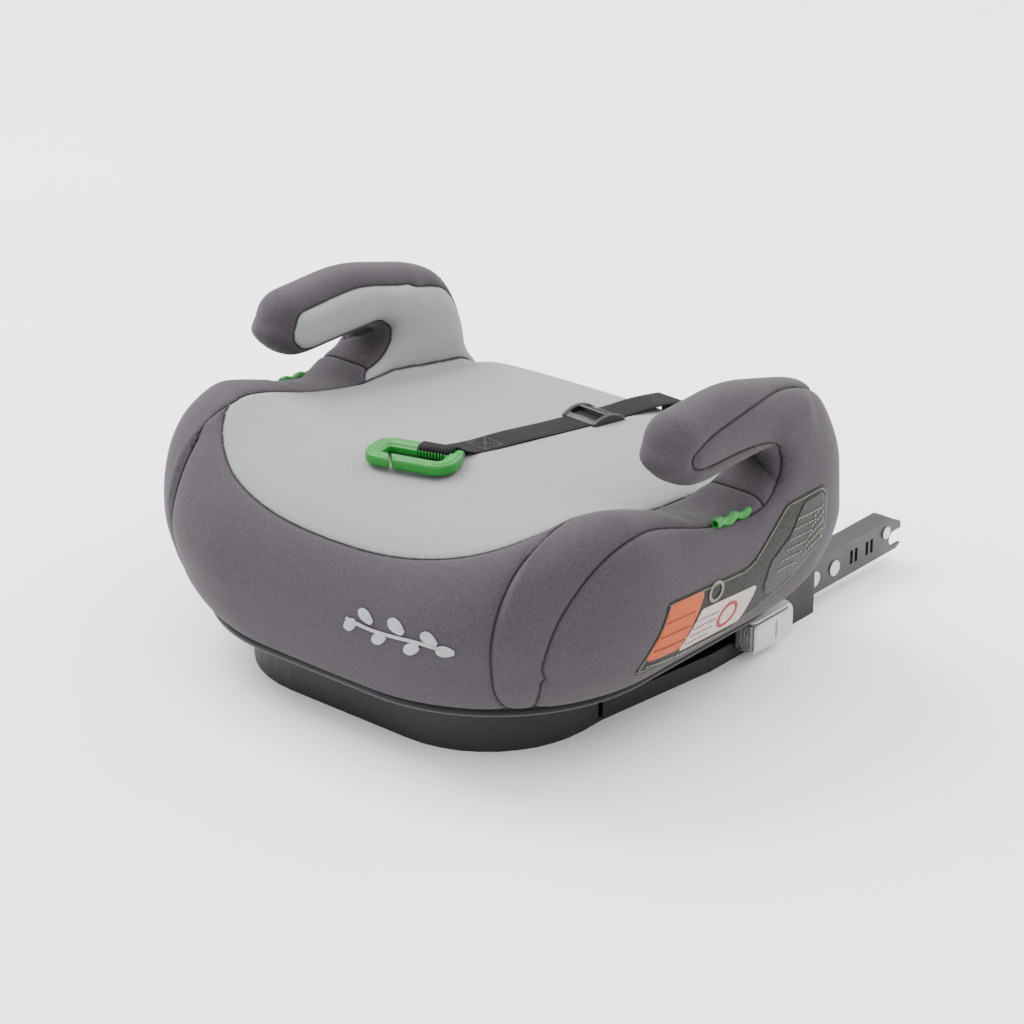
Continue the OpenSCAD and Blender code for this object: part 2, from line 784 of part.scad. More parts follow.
// Rod with a crank that reaches through the housing window into the arm
module pull_rod(side) {
    button_back = housing_y[0] + 14;
    mid_x = (housing_in + housing_out) / 2;
    color("#b9bcc0") on_side(side) {
        block([rod_side[0], rod_y[0], rod_z[0]], [rod_side[1], rod_y[1], rod_z[1]]);
        block([rod_side[0], rod_y[0], rod_z[0]], [mid_x + 1.5, rod_y[0] + 3, rod_z[1]]);
        block([mid_x - 1.5, button_back + 0.05, rod_z[0]], [mid_x + 1.5, rod_y[0] + 3, rod_z[1]]);
    }
}

module status_flag(side) {
    color("#2f9e44") on_side(side) difference() {
        block([housing_out - housing_wall - 1.6, housing_y[0] + 14.05, 12], [housing_out - housing_wall - gap, 66, 26]);
        block([housing_out - housing_wall - 2, 54, 18], [housing_out, 58, 20]);
    }
}

module latch_hook(side) {
    color("#9a9da1") on_side(side) difference() {
        union() {
            rod_x(hook_pin_d + 5, hook_x - hook_t / 2, hook_x + hook_t / 2, hook_y, hook_z);
            // Tail that the rod pushes, and the finger that closes the jaw
            side_slab(hook_x - hook_t / 2, hook_x + hook_t / 2) translate([hook_y, hook_z]) polygon([
                [-2.5, -11], [2.5, -11], [2.5, -4.5], [6.5, -5], [9.5, -11.5], [12.5, -11],
                [12, -4], [7, 2.5], [0, 4.5], [-2.5, 0]]);
        }
        rod_x(hook_pin_d + 2 * running, hook_x - hook_t, hook_x + hook_t, hook_y, hook_z);
    }
}

module button_spring(side) {
    start = housing_y[0] + 14 - 7.8;
    color("silver") on_side(side)
        translate([housing_in + housing_wall + gap + 4.2, start, 12.4]) rotate([-90, 0, 0])
            coil(2.2, 0.4, 7, housing_y[1] - 3.2 - start);
}

module hook_spring(side) {
    color("silver") on_side(side) {
        translate([hook_x + hook_t / 2 + 0.3, hook_y, hook_z]) rotate([0, 90, 0]) coil(3.9, 0.35, 2, 2.6);
    }
}

base_shell();
base_floor_pads();
guide_channel(1);  // guide_channel_left
guide_channel(-1);  // guide_channel_right
channel_screws();
shell_screws();
seat_shell();
seat_foam();
seat_panel();
front_panel();
rear_panel();
side_band(1);  // side_band_left
side_band(-1);  // side_band_right
side_panel(1);  // side_panel_left
side_panel(-1);  // side_panel_right
armrest_band(1);  // armrest_band_left
armrest_band(-1);  // armrest_band_right
armrest_inner(1);  // armrest_inner_left
armrest_inner(-1);  // armrest_inner_right
hem_binding();
belt_guide(1);  // belt_guide_left
belt_guide(-1);  // belt_guide_right
side_label();
front_emblem();
strap_anchor();
strap_anchor_screws();
belt_strap();
strap_slider();
belt_clip();
arm(1);  // arm_left
arm(-1);  // arm_right
cross_tube();
tube_screws();
arm_rivets(1);  // arm_rivets_left
arm_rivets(-1);  // arm_rivets_right
hook_pin(1);  // hook_pin_left
hook_pin(-1);  // hook_pin_right
handle_housing(1);  // handle_housing_left
handle_housing(-1);  // handle_housing_right
housing_cap(1);  // housing_cap_left
housing_cap(-1);  // housing_cap_right
release_button(1);  // release_button_left
release_button(-1);  // release_button_right
pull_rod(1);  // pull_rod_left
pull_rod(-1);  // pull_rod_right
status_flag(1);  // status_flag_left
status_flag(-1);  // status_flag_right
latch_hook(1);  // latch_hook_left
latch_hook(-1);  // latch_hook_right
button_spring(1);  // button_spring_left
button_spring(-1);  // button_spring_right
hook_spring(1);  // hook_spring_left
hook_spring(-1);  // hook_spring_right
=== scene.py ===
"""Looks of a padded booster seat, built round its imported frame.

Lengths in the dataclasses are millimetres in the frame's own axes: +Y is the back of the seat,
+X the sitter's left, Z = 0 the surface it stands on. Meshes are written in metres.
"""

import json
import logging
import math
from collections.abc import Callable, Sequence
from dataclasses import dataclass, field
from enum import Enum

import bmesh
import bpy
import numpy as np
from mathutils import Matrix, Vector, kdtree
from mathutils.bvhtree import BVHTree

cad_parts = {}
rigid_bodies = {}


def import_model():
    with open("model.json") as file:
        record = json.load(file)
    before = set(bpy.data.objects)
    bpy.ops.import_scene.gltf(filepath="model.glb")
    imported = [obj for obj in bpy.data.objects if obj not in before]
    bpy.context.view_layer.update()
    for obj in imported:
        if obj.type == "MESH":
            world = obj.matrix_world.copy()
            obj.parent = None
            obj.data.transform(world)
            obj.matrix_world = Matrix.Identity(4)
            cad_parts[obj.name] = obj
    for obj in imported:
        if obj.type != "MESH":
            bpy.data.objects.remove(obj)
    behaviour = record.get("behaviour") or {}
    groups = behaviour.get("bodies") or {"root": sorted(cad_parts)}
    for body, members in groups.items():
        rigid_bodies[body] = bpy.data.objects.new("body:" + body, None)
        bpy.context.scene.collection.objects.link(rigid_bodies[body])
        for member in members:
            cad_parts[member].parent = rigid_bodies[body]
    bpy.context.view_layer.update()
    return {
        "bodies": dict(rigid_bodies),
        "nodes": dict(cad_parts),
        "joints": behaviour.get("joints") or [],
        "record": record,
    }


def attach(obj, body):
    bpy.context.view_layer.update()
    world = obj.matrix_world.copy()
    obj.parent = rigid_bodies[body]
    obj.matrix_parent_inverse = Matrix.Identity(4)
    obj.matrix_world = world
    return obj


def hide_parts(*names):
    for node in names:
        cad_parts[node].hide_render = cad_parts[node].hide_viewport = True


MM = 0.001
LEFT, RIGHT = 1, -1
HAND_NAME = {LEFT: "left", RIGHT: "right"}
SIDE_ENDING = {0: "", LEFT: "_left", RIGHT: "_right"}
# Point attribute for painted shade along the cover's seams, standing in for the shade in the seam grooves.
SEAM_SHADE_MARK = "seam"
TINY = 1e-9
FAR = 1e18
LOG = logging.getLogger("booster")
Array = np.ndarray
Field = Callable[[Array, Array, Array], Array]
Curves = Sequence[Sequence[Sequence[float]]]
Colour = tuple[float, float, float, float]
Material, Piece, Socket = bpy.types.Material, bpy.types.Object, bpy.types.NodeSocket


# ---- Small mathematics -------------------------------------------------------------------


def smooth_max(a: Array, b: Array, k: Array | float) -> Array:
    """The larger of two fields, with the corner between them rounded.

    Args:
        a: First field.
        b: Second field.
        k: Width of the rounding, in millimetres.

    Returns:
        The blended field.
    """
    reach = np.maximum(k - np.abs(a - b), 0) / k
    return np.maximum(a, b) + reach * reach * k / 4


def smooth_min(a: Array, b: Array, k: Array | float) -> Array:
    """The smaller of two fields, with the corner between them filled by a fillet."""
    return -smooth_max(-a, -b, k)


def ease(value: Array, start: float, end: float) -> Array:
    """A smooth step from 0 at start to 1 at end; end may lie below start."""
    t = np.clip((value - start) / (end - start), 0, 1)
    return t * t * (3 - 2 * t)


def bell(away: Array | float, width: float) -> Array | float:
    """1 where away is 0, falling to 0 over a few widths on both sides."""
    return np.exp(-((away / width) ** 2))


def through(places: Sequence[float], values: Sequence[float]) -> Callable[[Array], Array]:
    """A smooth curve through a few stations, without overshoot.

    Args:
        places: Rising stations.
        values: The curve's value at each station.

    Returns:
        A function that reads the curve at any place.
    """
    xs, ys = np.asarray(places, float), np.asarray(values, float)
    slope = np.diff(ys) / np.diff(xs)
    tangent = np.zeros_like(ys)
    tangent[0], tangent[-1] = slope[0], slope[-1]
    product = slope[:-1] * slope[1:]
    total = slope[:-1] + slope[1:]
    rising = product > 0
    tangent[1:-1][rising] = 2 * product[rising] / total[rising]

    def read(x: Array) -> Array:
        """The curve's value at x."""
        x = np.clip(x, xs[0], xs[-1])
        i = np.clip(np.searchsorted(xs, x) - 1, 0, len(xs) - 2)
        h = xs[i + 1] - xs[i]
        t = (x - xs[i]) / h
        rise = (2 * t**3 - 3 * t**2 + 1) * ys[i] + (3 * t**2 - 2 * t**3) * ys[i + 1]
        return rise + h * ((t**3 - 2 * t**2 + t) * tangent[i] + (t**3 - t**2) * tangent[i + 1])

    return read


def rounded(rows: Sequence[tuple[float, float, float]], arc_step: float = 8.0) -> Array:
    """Points of a closed outline whose corners are rounded by arcs.

    Args:
        rows: Corner places and their radii.
        arc_step: Largest turn between two points, in degrees.

    Returns:
        An array of points.
    """
    corners = [np.array(row[:2], float) for row in rows]
    points = []
    for k, (corner, row) in enumerate(zip(corners, rows)):
        u, v = corners[k - 1] - corner, corners[(k + 1) % len(rows)] - corner
        u, v = u / np.linalg.norm(u), v / np.linalg.norm(v)
        if row[2] == 0:
            points.append(corner)
            continue
        half = math.acos(np.clip(u @ v, -1, 1)) / 2
        middle = (u + v) / np.linalg.norm(u + v)
        centre = corner + middle * row[2] / math.sin(half)
        first = corner + u * row[2] / math.tan(half) - centre
        last = corner + v * row[2] / math.tan(half) - centre
        start = math.atan2(first[1], first[0])
        turn = (math.atan2(last[1], last[0]) - start + math.pi) % (2 * math.pi) - math.pi
        steps = max(1, math.ceil(abs(math.degrees(turn)) / arc_step))
        for i in range(steps + 1):
            a = start + turn * i / steps
            points.append(centre + row[2] * np.array([math.cos(a), math.sin(a)]))
    return np.array(points)


def spline(points: Sequence[Sequence[float]], per_span: int = 8, closed: bool = False) -> Array:
    """A smooth Catmull-Rom curve through points, of any dimension.

    Args:
        points: The points to pass through.
        per_span: Samples between two points.
        closed: Whether the last point joins the first.

    Returns:
        The sampled curve.
    """
    p = np.asarray(points, float)
    n = len(p)
    spans = n if closed else n - 1
    out = []
    for i in range(spans):
        a = p[(i - 1) % n] if closed or i else p[0]
        b, c = p[i], p[(i + 1) % n]
        d = p[(i + 2) % n] if closed or i + 2 < n else p[-1]
        for t in np.arange(per_span) / per_span:
            out.append(0.5 * (2 * b + (c - a) * t + (2 * a - 5 * b + 4 * c - d) * t**2
                              + (3 * b - a - 3 * c + d) * t**3))
    if not closed:
        out.append(p[-1])
    return np.array(out)


def outline_distance(outline: Array, u: Array, v: Array) -> Array:
    """Signed distance of points from a closed outline, negative inside.

    Args:
        outline: The outline's points.
        u: First coordinates.
        v: Second coordinates.

    Returns:
        The distances, in the shape of u and v broadcast together.
    """
    u, v = np.broadcast_arrays(u, v)
    nearest = np.full(u.shape, FAR)
    inside = np.zeros(u.shape, bool)
    for a, b in zip(outline, np.roll(outline, -1, axis=0)):
        edge = b - a
        length = max(edge @ edge, 1e-12)
        t = np.clip(((u - a[0]) * edge[0] + (v - a[1]) * edge[1]) / length, 0, 1)
        du, dv = u - a[0] - t * edge[0], v - a[1] - t * edge[1]
        nearest = np.minimum(nearest, du * du + dv * dv)
        if a[1] != b[1]:
            crosses = (a[1] > v) != (b[1] > v)
            inside ^= crosses & (u < a[0] + (v - a[1]) * edge[0] / edge[1])
    return np.where(inside, -1, 1) * np.sqrt(nearest)


def gradient(shape: Field, points: Array, step: float = 0.4) -> Array:
    """Unit gradient of a field at points, by central differences."""
    parts = []
    for axis in range(3):
        shift = np.zeros(3)
        shift[axis] = step
        high, low = points + shift, points - shift
        parts.append(shape(*high.T) - shape(*low.T))
    slope = np.stack(parts, axis=1)
    return slope / np.maximum(np.linalg.norm(slope, axis=1, keepdims=True), TINY)


def settle(shape: Field, points: Array, rounds: int) -> Array:
    """Moves points onto the zero surface of a field.

    Args:
        shape: The field.
        points: The points.
        rounds: How many steps are taken.

    Returns:
        The moved points.
    """
    flattest = 0.3
    for _ in range(rounds):
        slope = gradient(shape, points)
        rise = shape(*(points + 0.5 * slope).T) - shape(*(points - 0.5 * slope).T)
        points = points - slope * (shape(*points.T) / np.maximum(rise, flattest))[:, None]
    return points


def surface_net(shape: Field, low: Sequence[float], high: Sequence[float],
                cell: float) -> tuple[Array, Array]:
    """Four-sided faces over the zero surface of a field, one point to a grid cell.

    Args:
        shape: The field, negative inside.
        low: Lowest corner of the grid.
        high: Highest corner of the grid.
        cell: Size of a cell.

    Returns:
        The points and the faces, wound outwards.
    """
    axes = [np.arange(a, b + cell, cell) for a, b in zip(low, high)]
    values = shape(axes[0][:, None, None], axes[1][None, :, None], axes[2][None, None, :])
    inside = values < 0
    cells = tuple(n - 1 for n in values.shape)
    total = np.zeros(cells + (3,))
    count = np.zeros(cells)
    for axis in range(3):
        others = [a for a in range(3) if a != axis]
        for du in (0, 1):
            for dv in (0, 1):
                start = np.zeros(3, int)
                start[others[0]], start[others[1]] = du, dv
                end = start.copy()
                end[axis] = 1
                at = [slice(s, s + c) for s, c in zip(start, cells)]
                to = [slice(s, s + c) for s, c in zip(end, cells)]
                a, b = values[tuple(at)], values[tuple(to)]
                cross = inside[tuple(at)] != inside[tuple(to)]
                t = np.where(cross, a / np.where(a == b, 1, a - b), 0)
                for k in range(3):
                    total[..., k] += cross * (start[k] + (t if k == axis else 0))
                count += cross
    used = count > 0
    number = np.full(cells, -1)
    number[used] = np.arange(used.sum())
    base = np.stack(np.nonzero(used), axis=1)
    points = np.array(low) + cell * (base + total[used] / count[used][:, None])
    faces = []
    for axis in range(3):
        u, v = [a for a in range(3) if a != axis]
        size = list(values.shape)
        size[axis] -= 1
        first = tuple(slice(0, s) for s in size)
        second = tuple(slice(1, s + 1) if k == axis else slice(0, s) for k, s in enumerate(size))
        where = np.stack(np.nonzero(inside[first] != inside[second]), axis=1)
        for k in (u, v):
            where = where[(where[:, k] > 0) & (where[:, k] < cells[k])]
        ring = []
        for du, dv in ((-1, -1), (0, -1), (0, 0), (-1, 0)):
            place = where.copy()
            place[:, u] += du
            place[:, v] += dv
            ring.append(number[tuple(place.T)])
        quads = np.stack(ring, axis=1)
        flip = inside[tuple(where.T)] == (axis == 1)
        quads[flip] = quads[flip][:, ::-1]
        faces.append(quads)
    return points, np.concatenate(faces)


def neighbours_mean(points: Array, edges: Array) -> Array:
    """Mean of each point's neighbours along the edges."""
    total, count = np.zeros_like(points), np.zeros(len(points))
    for a, b in (edges.T, edges.T[::-1]):
        for k in range(3):
            total[:, k] += np.bincount(a, points[b, k], len(points))
        count += np.bincount(a, minlength=len(points))
    return total / np.maximum(count, 1)[:, None]


def face_edges(faces: Sequence[Sequence[int]]) -> Array:
    """The distinct edges of faces, as sorted pairs."""
    pairs = np.array([(f[i - 1], f[i]) for f in faces for i in range(len(f))])
    return np.unique(np.sort(pairs, axis=1), axis=0)


def points_of(faces: Sequence[Sequence[int]]) -> Array:
    """The numbers of the points that faces use, in rising order."""
    return np.unique(np.concatenate([np.asarray(f) for f in faces]))


def renumber(faces: Sequence[Sequence[int]], used: Array) -> list[list[int]]:
    """The faces over only the used points, counted from 0."""
    number = {int(v): i for i, v in enumerate(used)}
    return [[number[v] for v in f] for f in faces]


def even_skin(shape: Field, low: Sequence[float], high: Sequence[float], cell: float, share: float,
              rounds: int) -> tuple[Array, Array]:
    """The zero surface of a field as an even mesh.

    Args:
        shape: The field, negative inside.
        low: Lowest corner of the room it takes.
        high: Highest corner of that room.
        cell: Size of its faces.
        share: How far each point moves to the middle of its neighbours in a round.
        rounds: How many times the points are evened out.

    Returns:
        The points and the faces.
    """
    points, faces = surface_net(shape, low, high, cell)
    edges = face_edges(faces)
    for _ in range(rounds):
        points = settle(shape, (1 - share) * points + share * neighbours_mean(points, edges), 1)
    return settle(shape, points, 2), faces


# ---- Mesh objects ------------------------------------------------------------------------


def make_object(name: str, points: Array, faces: Sequence[Sequence[int]],
                finish: Material | None = None) -> Piece:
    """A smoothly shaded mesh object at the origin, from points in millimetres.

    Args:
        name: The piece's name.
        points: Its points, in millimetres.
        faces: Its faces.
        finish: Its material.

    Returns:
        The object, linked to the scene.
    """
    mesh = bpy.data.meshes.new(name)
    mesh.from_pydata((np.asarray(points, float) * MM).tolist(), [], [list(map(int, f)) for f in faces])
    mesh.validate()
    mesh.shade_smooth()
    if finish is not None:
        mesh.materials.append(finish)
    piece = bpy.data.objects.new(name, mesh)
    bpy.context.scene.collection.objects.link(piece)
    return piece


def coordinates(piece: Piece) -> Array:
    """A mesh object's points, in millimetres."""
    flat = np.zeros(len(piece.data.vertices) * 3)
    piece.data.vertices.foreach_get("co", flat)
    return flat.reshape(-1, 3) / MM


def place_points(piece: Piece, points: Array) -> None:
    """Writes points in millimetres back to a mesh object."""
    piece.data.vertices.foreach_set("co", (points * MM).ravel())
    piece.data.update()


def bake(piece: Piece) -> Piece:
    """Replaces a piece's mesh by what its modifiers make of it, and removes them."""
    depsgraph = bpy.context.evaluated_depsgraph_get()
    mesh = bpy.data.meshes.new_from_object(piece.evaluated_get(depsgraph), depsgraph=depsgraph)
    piece.modifiers.clear()
    piece.data = mesh
    return piece


def subdivide(piece: Piece, levels: int = 1) -> Piece:
    """Refines a mesh by Catmull and Clark's rule and bakes it."""
    modifier = piece.modifiers.new("Refine", "SUBSURF")
    modifier.levels = modifier.render_levels = levels
    modifier.boundary_smooth = "PRESERVE_CORNERS"
    return bake(piece)


def thicken(piece: Piece, thickness: float, outward_at: Array | None = None) -> Piece:
    """Gives an open skin a wall inwards.

    Args:
        piece: The skin.
        thickness: The wall, in millimetres.
        outward_at: Outward direction at each point; the mesh's own where it is left out.

    Returns:
        The piece.
    """
    outer = coordinates(piece)
    if outward_at is None:
        outward_at = np.array([tuple(v.normal) for v in piece.data.vertices])
    faces = [tuple(f.vertices) for f in piece.data.polygons]
    owned = dict.fromkeys((f[k - 1], b) for f in faces for k, b in enumerate(f))
    count = len(outer)
    rims = [(b, a, a + count, b + count) for a, b in owned if (b, a) not in owned]
    inside = [tuple(v + count for v in f[::-1]) for f in faces]
    # The painted seam shade is copied to both faces of the wall.
    seam = piece.data.attributes.get(SEAM_SHADE_MARK)
    marks = np.zeros(count)
    if seam is not None:
        seam.data.foreach_get("value", marks)
    mesh = bpy.data.meshes.new(piece.name)
    both = np.concatenate([outer, outer - thickness * outward_at])
    mesh.from_pydata((both * MM).tolist(), [], faces + inside + rims)
    for material in piece.data.materials:
        mesh.materials.append(material)
    layer = mesh.attributes.new(SEAM_SHADE_MARK, "FLOAT", "POINT")
    layer.data.foreach_set("value", np.concatenate([marks, marks]))
    mesh.shade_smooth()
    piece.data = mesh
    return piece


# ---- Finishes ----------------------------------------------------------------------------


class Nodes:
    """A short way to write a material's node tree."""

    def __init__(self, name: str) -> None:
        """Makes a material with only its shader and output."""
        self.material = bpy.data.materials.new(name)
        self.material.use_nodes = True
        self.tree = self.material.node_tree
        self.shader = self.tree.nodes["Principled BSDF"]
        self.place = self.add("ShaderNodeTexCoord").outputs["Object"]

    def add(self, kind: str, links: dict | None = None, **values: object) -> bpy.types.Node:
        """Adds a node.

        Args:
            kind: The node's type.
            links: Input names with the sockets that feed them, or with plain values.
            values: Properties of the node.

        Returns:
            The node.
        """
        node = self.tree.nodes.new(kind)
        for key, value in values.items():
            setattr(node, key, value)
        for key, value in (links or {}).items():
            if isinstance(value, Socket):
                self.tree.links.new(value, node.inputs[key])
            else:
                node.inputs[key].default_value = value
        return node

    def noise(self, scale: float, detail: float, vector: Socket | None = None) -> Socket:
        """A noise value between 0 and 1 at so many features a metre."""
        links = {"Vector": vector or self.place, "Scale": scale, "Detail": detail}
        return self.add("ShaderNodeTexNoise", links).outputs["Fac"]

    def math(self, kind: str, a: object, b: object) -> Socket:
        """One step of arithmetic on two sockets or numbers."""
        return self.add("ShaderNodeMath", {0: a, 1: b}, operation=kind).outputs[0]

    def blend(self, *parts: tuple[Socket, float]) -> Socket:
        """The sum of sockets, each times its share."""
        total = None
        for socket, share in parts:
            part = self.math("MULTIPLY", socket, share)
            total = part if total is None else self.math("ADD", total, part)
        return total

    def soft_edge(self, radius: float) -> Socket:
        """A normal that rounds sharp edges by that radius in millimetres."""
        return self.add("ShaderNodeBevel", {"Radius": radius * MM}, samples=4).outputs["Normal"]

    def ramp(self, value: Socket, low: float, high: float, to_low: float = 0.0,
             to_high: float = 1.0) -> Socket:
        """Maps a value from one range to another, held at both ends."""
        links = {"Value": value, "From Min": low, "From Max": high, "To Min": to_low, "To Max": to_high}
        return self.add("ShaderNodeMapRange", links).outputs["Result"]

    def mix(self, share: object, a: object, b: object) -> Socket:
        """Mixes two colours by a share, each a socket or a plain value."""
        node = self.add("ShaderNodeMix", {"Factor": share}, data_type="RGBA")
        for socket, value in ((node.inputs[6], a), (node.inputs[7], b)):
            if isinstance(value, Socket):
                self.tree.links.new(value, socket)
            else:
                socket.default_value = value
        return node.outputs[2]

    def bump(self, height: Socket, distance: float, strength: float,
             under: Socket | None = None) -> Socket:
        """A bump of that height in millimetres, over another normal if one is given."""
        links = {"Height": height, "Distance": distance * MM, "Strength": strength}
        if under is not None:
            links["Normal"] = under
        return self.add("ShaderNodeBump", links).outputs["Normal"]

    def finish(self, links: dict) -> Material:
        """Feeds the shader's inputs with sockets or plain values and returns the material."""
        for key, value in links.items():
            if isinstance(value, Socket):
                self.tree.links.new(value, self.shader.inputs[key])
            else:
                self.shader.inputs[key].default_value = value
        return self.material


def rgb(red: int, green: int, blue: int) -> Colour:
    """A display colour of 0 to 255 a channel as the linear colour that shaders take."""
    linear = []
    for part in (red, green, blue):
        c = part / 255
        linear.append(c / 12.92 if c <= 0.04045 else ((c + 0.055) / 1.055) ** 2.4)
    return (*linear, 1.0)


def shade(colour: Sequence[float], factor: float) -> Colour:
    """A colour made lighter or darker."""
    return (*(min(1.0, c * factor) for c in colour[:3]), 1.0)


@dataclass(frozen=True)
class KnitFabric:
    """Fine brushed knit of the cover: a melange yarn, rows of stitches and a soft nap."""

    name: str
    colour: Colour
    melange: float = 0.16
    sheen: float = 0.25
    row_scale: float = 1 / 15
    # How dark the painted shade in the seam grooves is, as a share of the fabric colour.
    seam_shade: float = 0.16

    def material(self) -> Material:
        """Builds the fabric's material; the seam attribute darkens it along its seams as painted shade for
        the seam grooves.
        """
        n = Nodes(self.name)
        fibres, yarn, patches = n.noise(1400, 4), n.noise(520, 2), n.noise(26, 3)
        tone = n.ramp(n.blend((fibres, 0.62), (yarn, 0.38)), 0.36, 0.64)
        spotted = n.mix(tone, shade(self.colour, 1 - self.melange), shade(self.colour, 1 + self.melange))
        worn = n.mix(n.ramp(patches, 0.3, 0.7), shade(self.colour, 0.97), shade(self.colour, 1.03))
        # Painted shade: the colour is mixed towards a much darker copy of the fabric along the seams,
        # standing in for the shade in the tucked grooves.
        seam = n.ramp(n.add("ShaderNodeAttribute", attribute_name=SEAM_SHADE_MARK).outputs["Fac"], 0.68, 0.9)
        sewn = n.mix(seam, n.mix(0.35, spotted, worn), shade(self.colour, self.seam_shade))
        links = {"Vector": n.place, "Scale": self.row_scale / MM, "Distortion": 1.2, "Detail": 1.0,
                 "Detail Scale": 2.0}
        rows = [n.add("ShaderNodeTexWave", links, bands_direction=axis).outputs["Fac"] for axis in "XYZ"]
        height = n.blend(*((row, 0.165) for row in rows), (fibres, 0.7))
        normal = n.bump(height, 0.12, 0.55, n.bump(n.noise(60, 3), 0.8, 0.25))
        return n.finish({"Base Color": sewn, "Roughness": n.ramp(fibres, 0.3, 0.7, 0.78, 0.95),
                         "Normal": normal, "Sheen Weight": self.sheen, "Sheen Roughness": 0.55,
                         "Specular IOR Level": 0.25})


@dataclass(frozen=True)
class MouldedPlastic:
    """Injection-moulded plastic with a fine grain, faint flow marks and softened edges."""

    name: str
    colour: Colour
    roughness: float = 0.4
    grain: float = 0.05
    edge: float = 0.5

    def material(self) -> Material:
        """Builds the plastic's material."""
        n = Nodes(self.name)
        fine, flow = n.noise(2600, 2), n.noise(38, 4)
        colour = n.mix(n.ramp(flow, 0.3, 0.7), shade(self.colour, 0.94), shade(self.colour, 1.07))
        rough = n.math("ADD", n.ramp(flow, 0.25, 0.75, self.roughness - 0.05, self.roughness + 0.06),
                       n.math("MULTIPLY", n.math("SUBTRACT", fine, 0.5), 0.08))
        normal = n.bump(fine, self.grain, 0.5, n.soft_edge(self.edge))
        return n.finish({"Base Color": colour, "Roughness": rough, "Normal": normal})


@dataclass(frozen=True)
class Metal:
    """Zinc-plated or drawn steel with a directional polish and a light tarnish."""

    name: str
    colour: Colour
    roughness: float = 0.3
    stretch: tuple[float, float, float] = (1.0, 1.0, 8.0)

    def material(self) -> Material:
        """Builds the metal's material."""
        n = Nodes(self.name)
        run = n.add("ShaderNodeMapping", {"Vector": n.place, "Scale": self.stretch}).outputs[0]
        polish, tarnish = n.noise(900, 3, run), n.noise(55, 4)
        colour = n.mix(n.ramp(tarnish, 0.35, 0.75), self.colour, shade(self.colour, 0.8))
        rough = n.ramp(polish, 0.2, 0.8, self.roughness - 0.08, self.roughness + 0.12)
        normal = n.bump(polish, 0.03, 0.5, n.soft_edge(0.3))
        return n.finish({"Base Color": colour, "Metallic": 1.0, "Roughness": rough, "Normal": normal})


@dataclass(frozen=True)
class CoatedSteel:
    """Black powder-coated steel of the anchor arms: a fine orange peel, grey where it is rubbed."""

    name: str
    colour: Colour
    roughness: float = 0.42

    def material(self) -> Material:
        """Builds the coating's material."""
        n = Nodes(self.name)
        peel, rub = n.noise(750, 3), n.noise(70, 5)
        colour = n.mix(n.ramp(rub, 0.52, 0.78), self.colour, shade(self.colour, 1.7))
        rough = n.ramp(rub, 0.3, 0.7, self.roughness - 0.06, self.roughness + 0.08)
        normal = n.bump(peel, 0.06, 0.6, n.soft_edge(0.6))
        return n.finish({"Base Color": colour, "Roughness": rough, "Normal": normal,
                         "Specular IOR Level": 0.55})


@dataclass(frozen=True)
class Foam:
    """Open-cell foam, slightly yellow, with its pores."""

    name: str
    colour: Colour

    def material(self) -> Material:
        """Builds the foam's material."""
        n = Nodes(self.name)
        pores = n.add("ShaderNodeTexVoronoi", {"Vector": n.place, "Scale": 800.0}).outputs["Distance"]
        colour = n.mix(n.ramp(n.noise(30, 3), 0.3, 0.7), shade(self.colour, 0.9), shade(self.colour, 1.05))
        return n.finish({"Base Color": colour, "Roughness": 0.9, "Normal": n.bump(pores, 0.5, 0.7)})


@dataclass(frozen=True)
class WovenStrap:
    """Woven belt webbing: fine ribs along and picks across, read from the strap's own UV in metres."""

    name: str
    colour: Colour

    def material(self) -> Material:
        """Builds the webbing's material."""
        n = Nodes(self.name)
        uv = n.add("ShaderNodeTexCoord").outputs["UV"]
        picks, ribs = (n.add("ShaderNodeTexWave", {"Vector": uv, "Scale": scale, "Distortion": 0.6},
                             bands_direction=axis).outputs["Fac"]
                       for axis, scale in (("X", 190.0), ("Y", 150.0)))
        fuzz = n.noise(1500, 3)
        colour = n.mix(n.blend((ribs, 0.7), (fuzz, 0.3)), shade(self.colour, 0.6), shade(self.colour, 1.3))
        height = n.blend((ribs, 0.6), (n.math("MULTIPLY", picks, ribs), 0.3), (fuzz, 0.2))
        return n.finish({"Base Color": colour, "Roughness": n.ramp(fuzz, 0.2, 0.8, 0.5, 0.7),
                         "Normal": n.bump(height, 0.35, 0.8), "Specular IOR Level": 0.15})


@dataclass(frozen=True)
class SilkThread:
    """Twisted embroidery thread with a silky lustre."""

    name: str
    colour: Colour

    def material(self) -> Material:
        """Builds the thread's material."""
        n = Nodes(self.name)
        twist, tone = n.noise(3200, 2), n.noise(160, 2)
        colour = n.mix(n.ramp(tone, 0.3, 0.7), shade(self.colour, 0.85), shade(self.colour, 1.1))
        return n.finish({"Base Color": colour, "Roughness": n.ramp(twist, 0.2, 0.8, 0.28, 0.45),
                         "Normal": n.bump(twist, 0.08, 0.6), "Sheen Weight": 0.3,
                         "Specular IOR Level": 0.6})


@dataclass(frozen=True)
class PrintedFilm:
    """Printed plastic film, slightly scuffed and rippled by the cloth below."""

    name: str
    colour: Colour
    roughness: float = 0.42

    def material(self) -> Material:
        """Builds the film's material."""
        n = Nodes(self.name)
        scuff, ripple = n.noise(420, 5), n.noise(70, 3)
        colour = n.mix(n.ramp(scuff, 0.35, 0.8), self.colour, shade(self.colour, 1.12))
        rough = n.ramp(scuff, 0.3, 0.7, self.roughness - 0.08, self.roughness + 0.1)
        normal = n.bump(ripple, 0.5, 0.3, n.bump(scuff, 0.03, 0.4))
        return n.finish({"Base Color": colour, "Roughness": rough, "Normal": normal,
                         "Specular IOR Level": 0.25})


# ---- Padded cover ------------------------------------------------------------------------


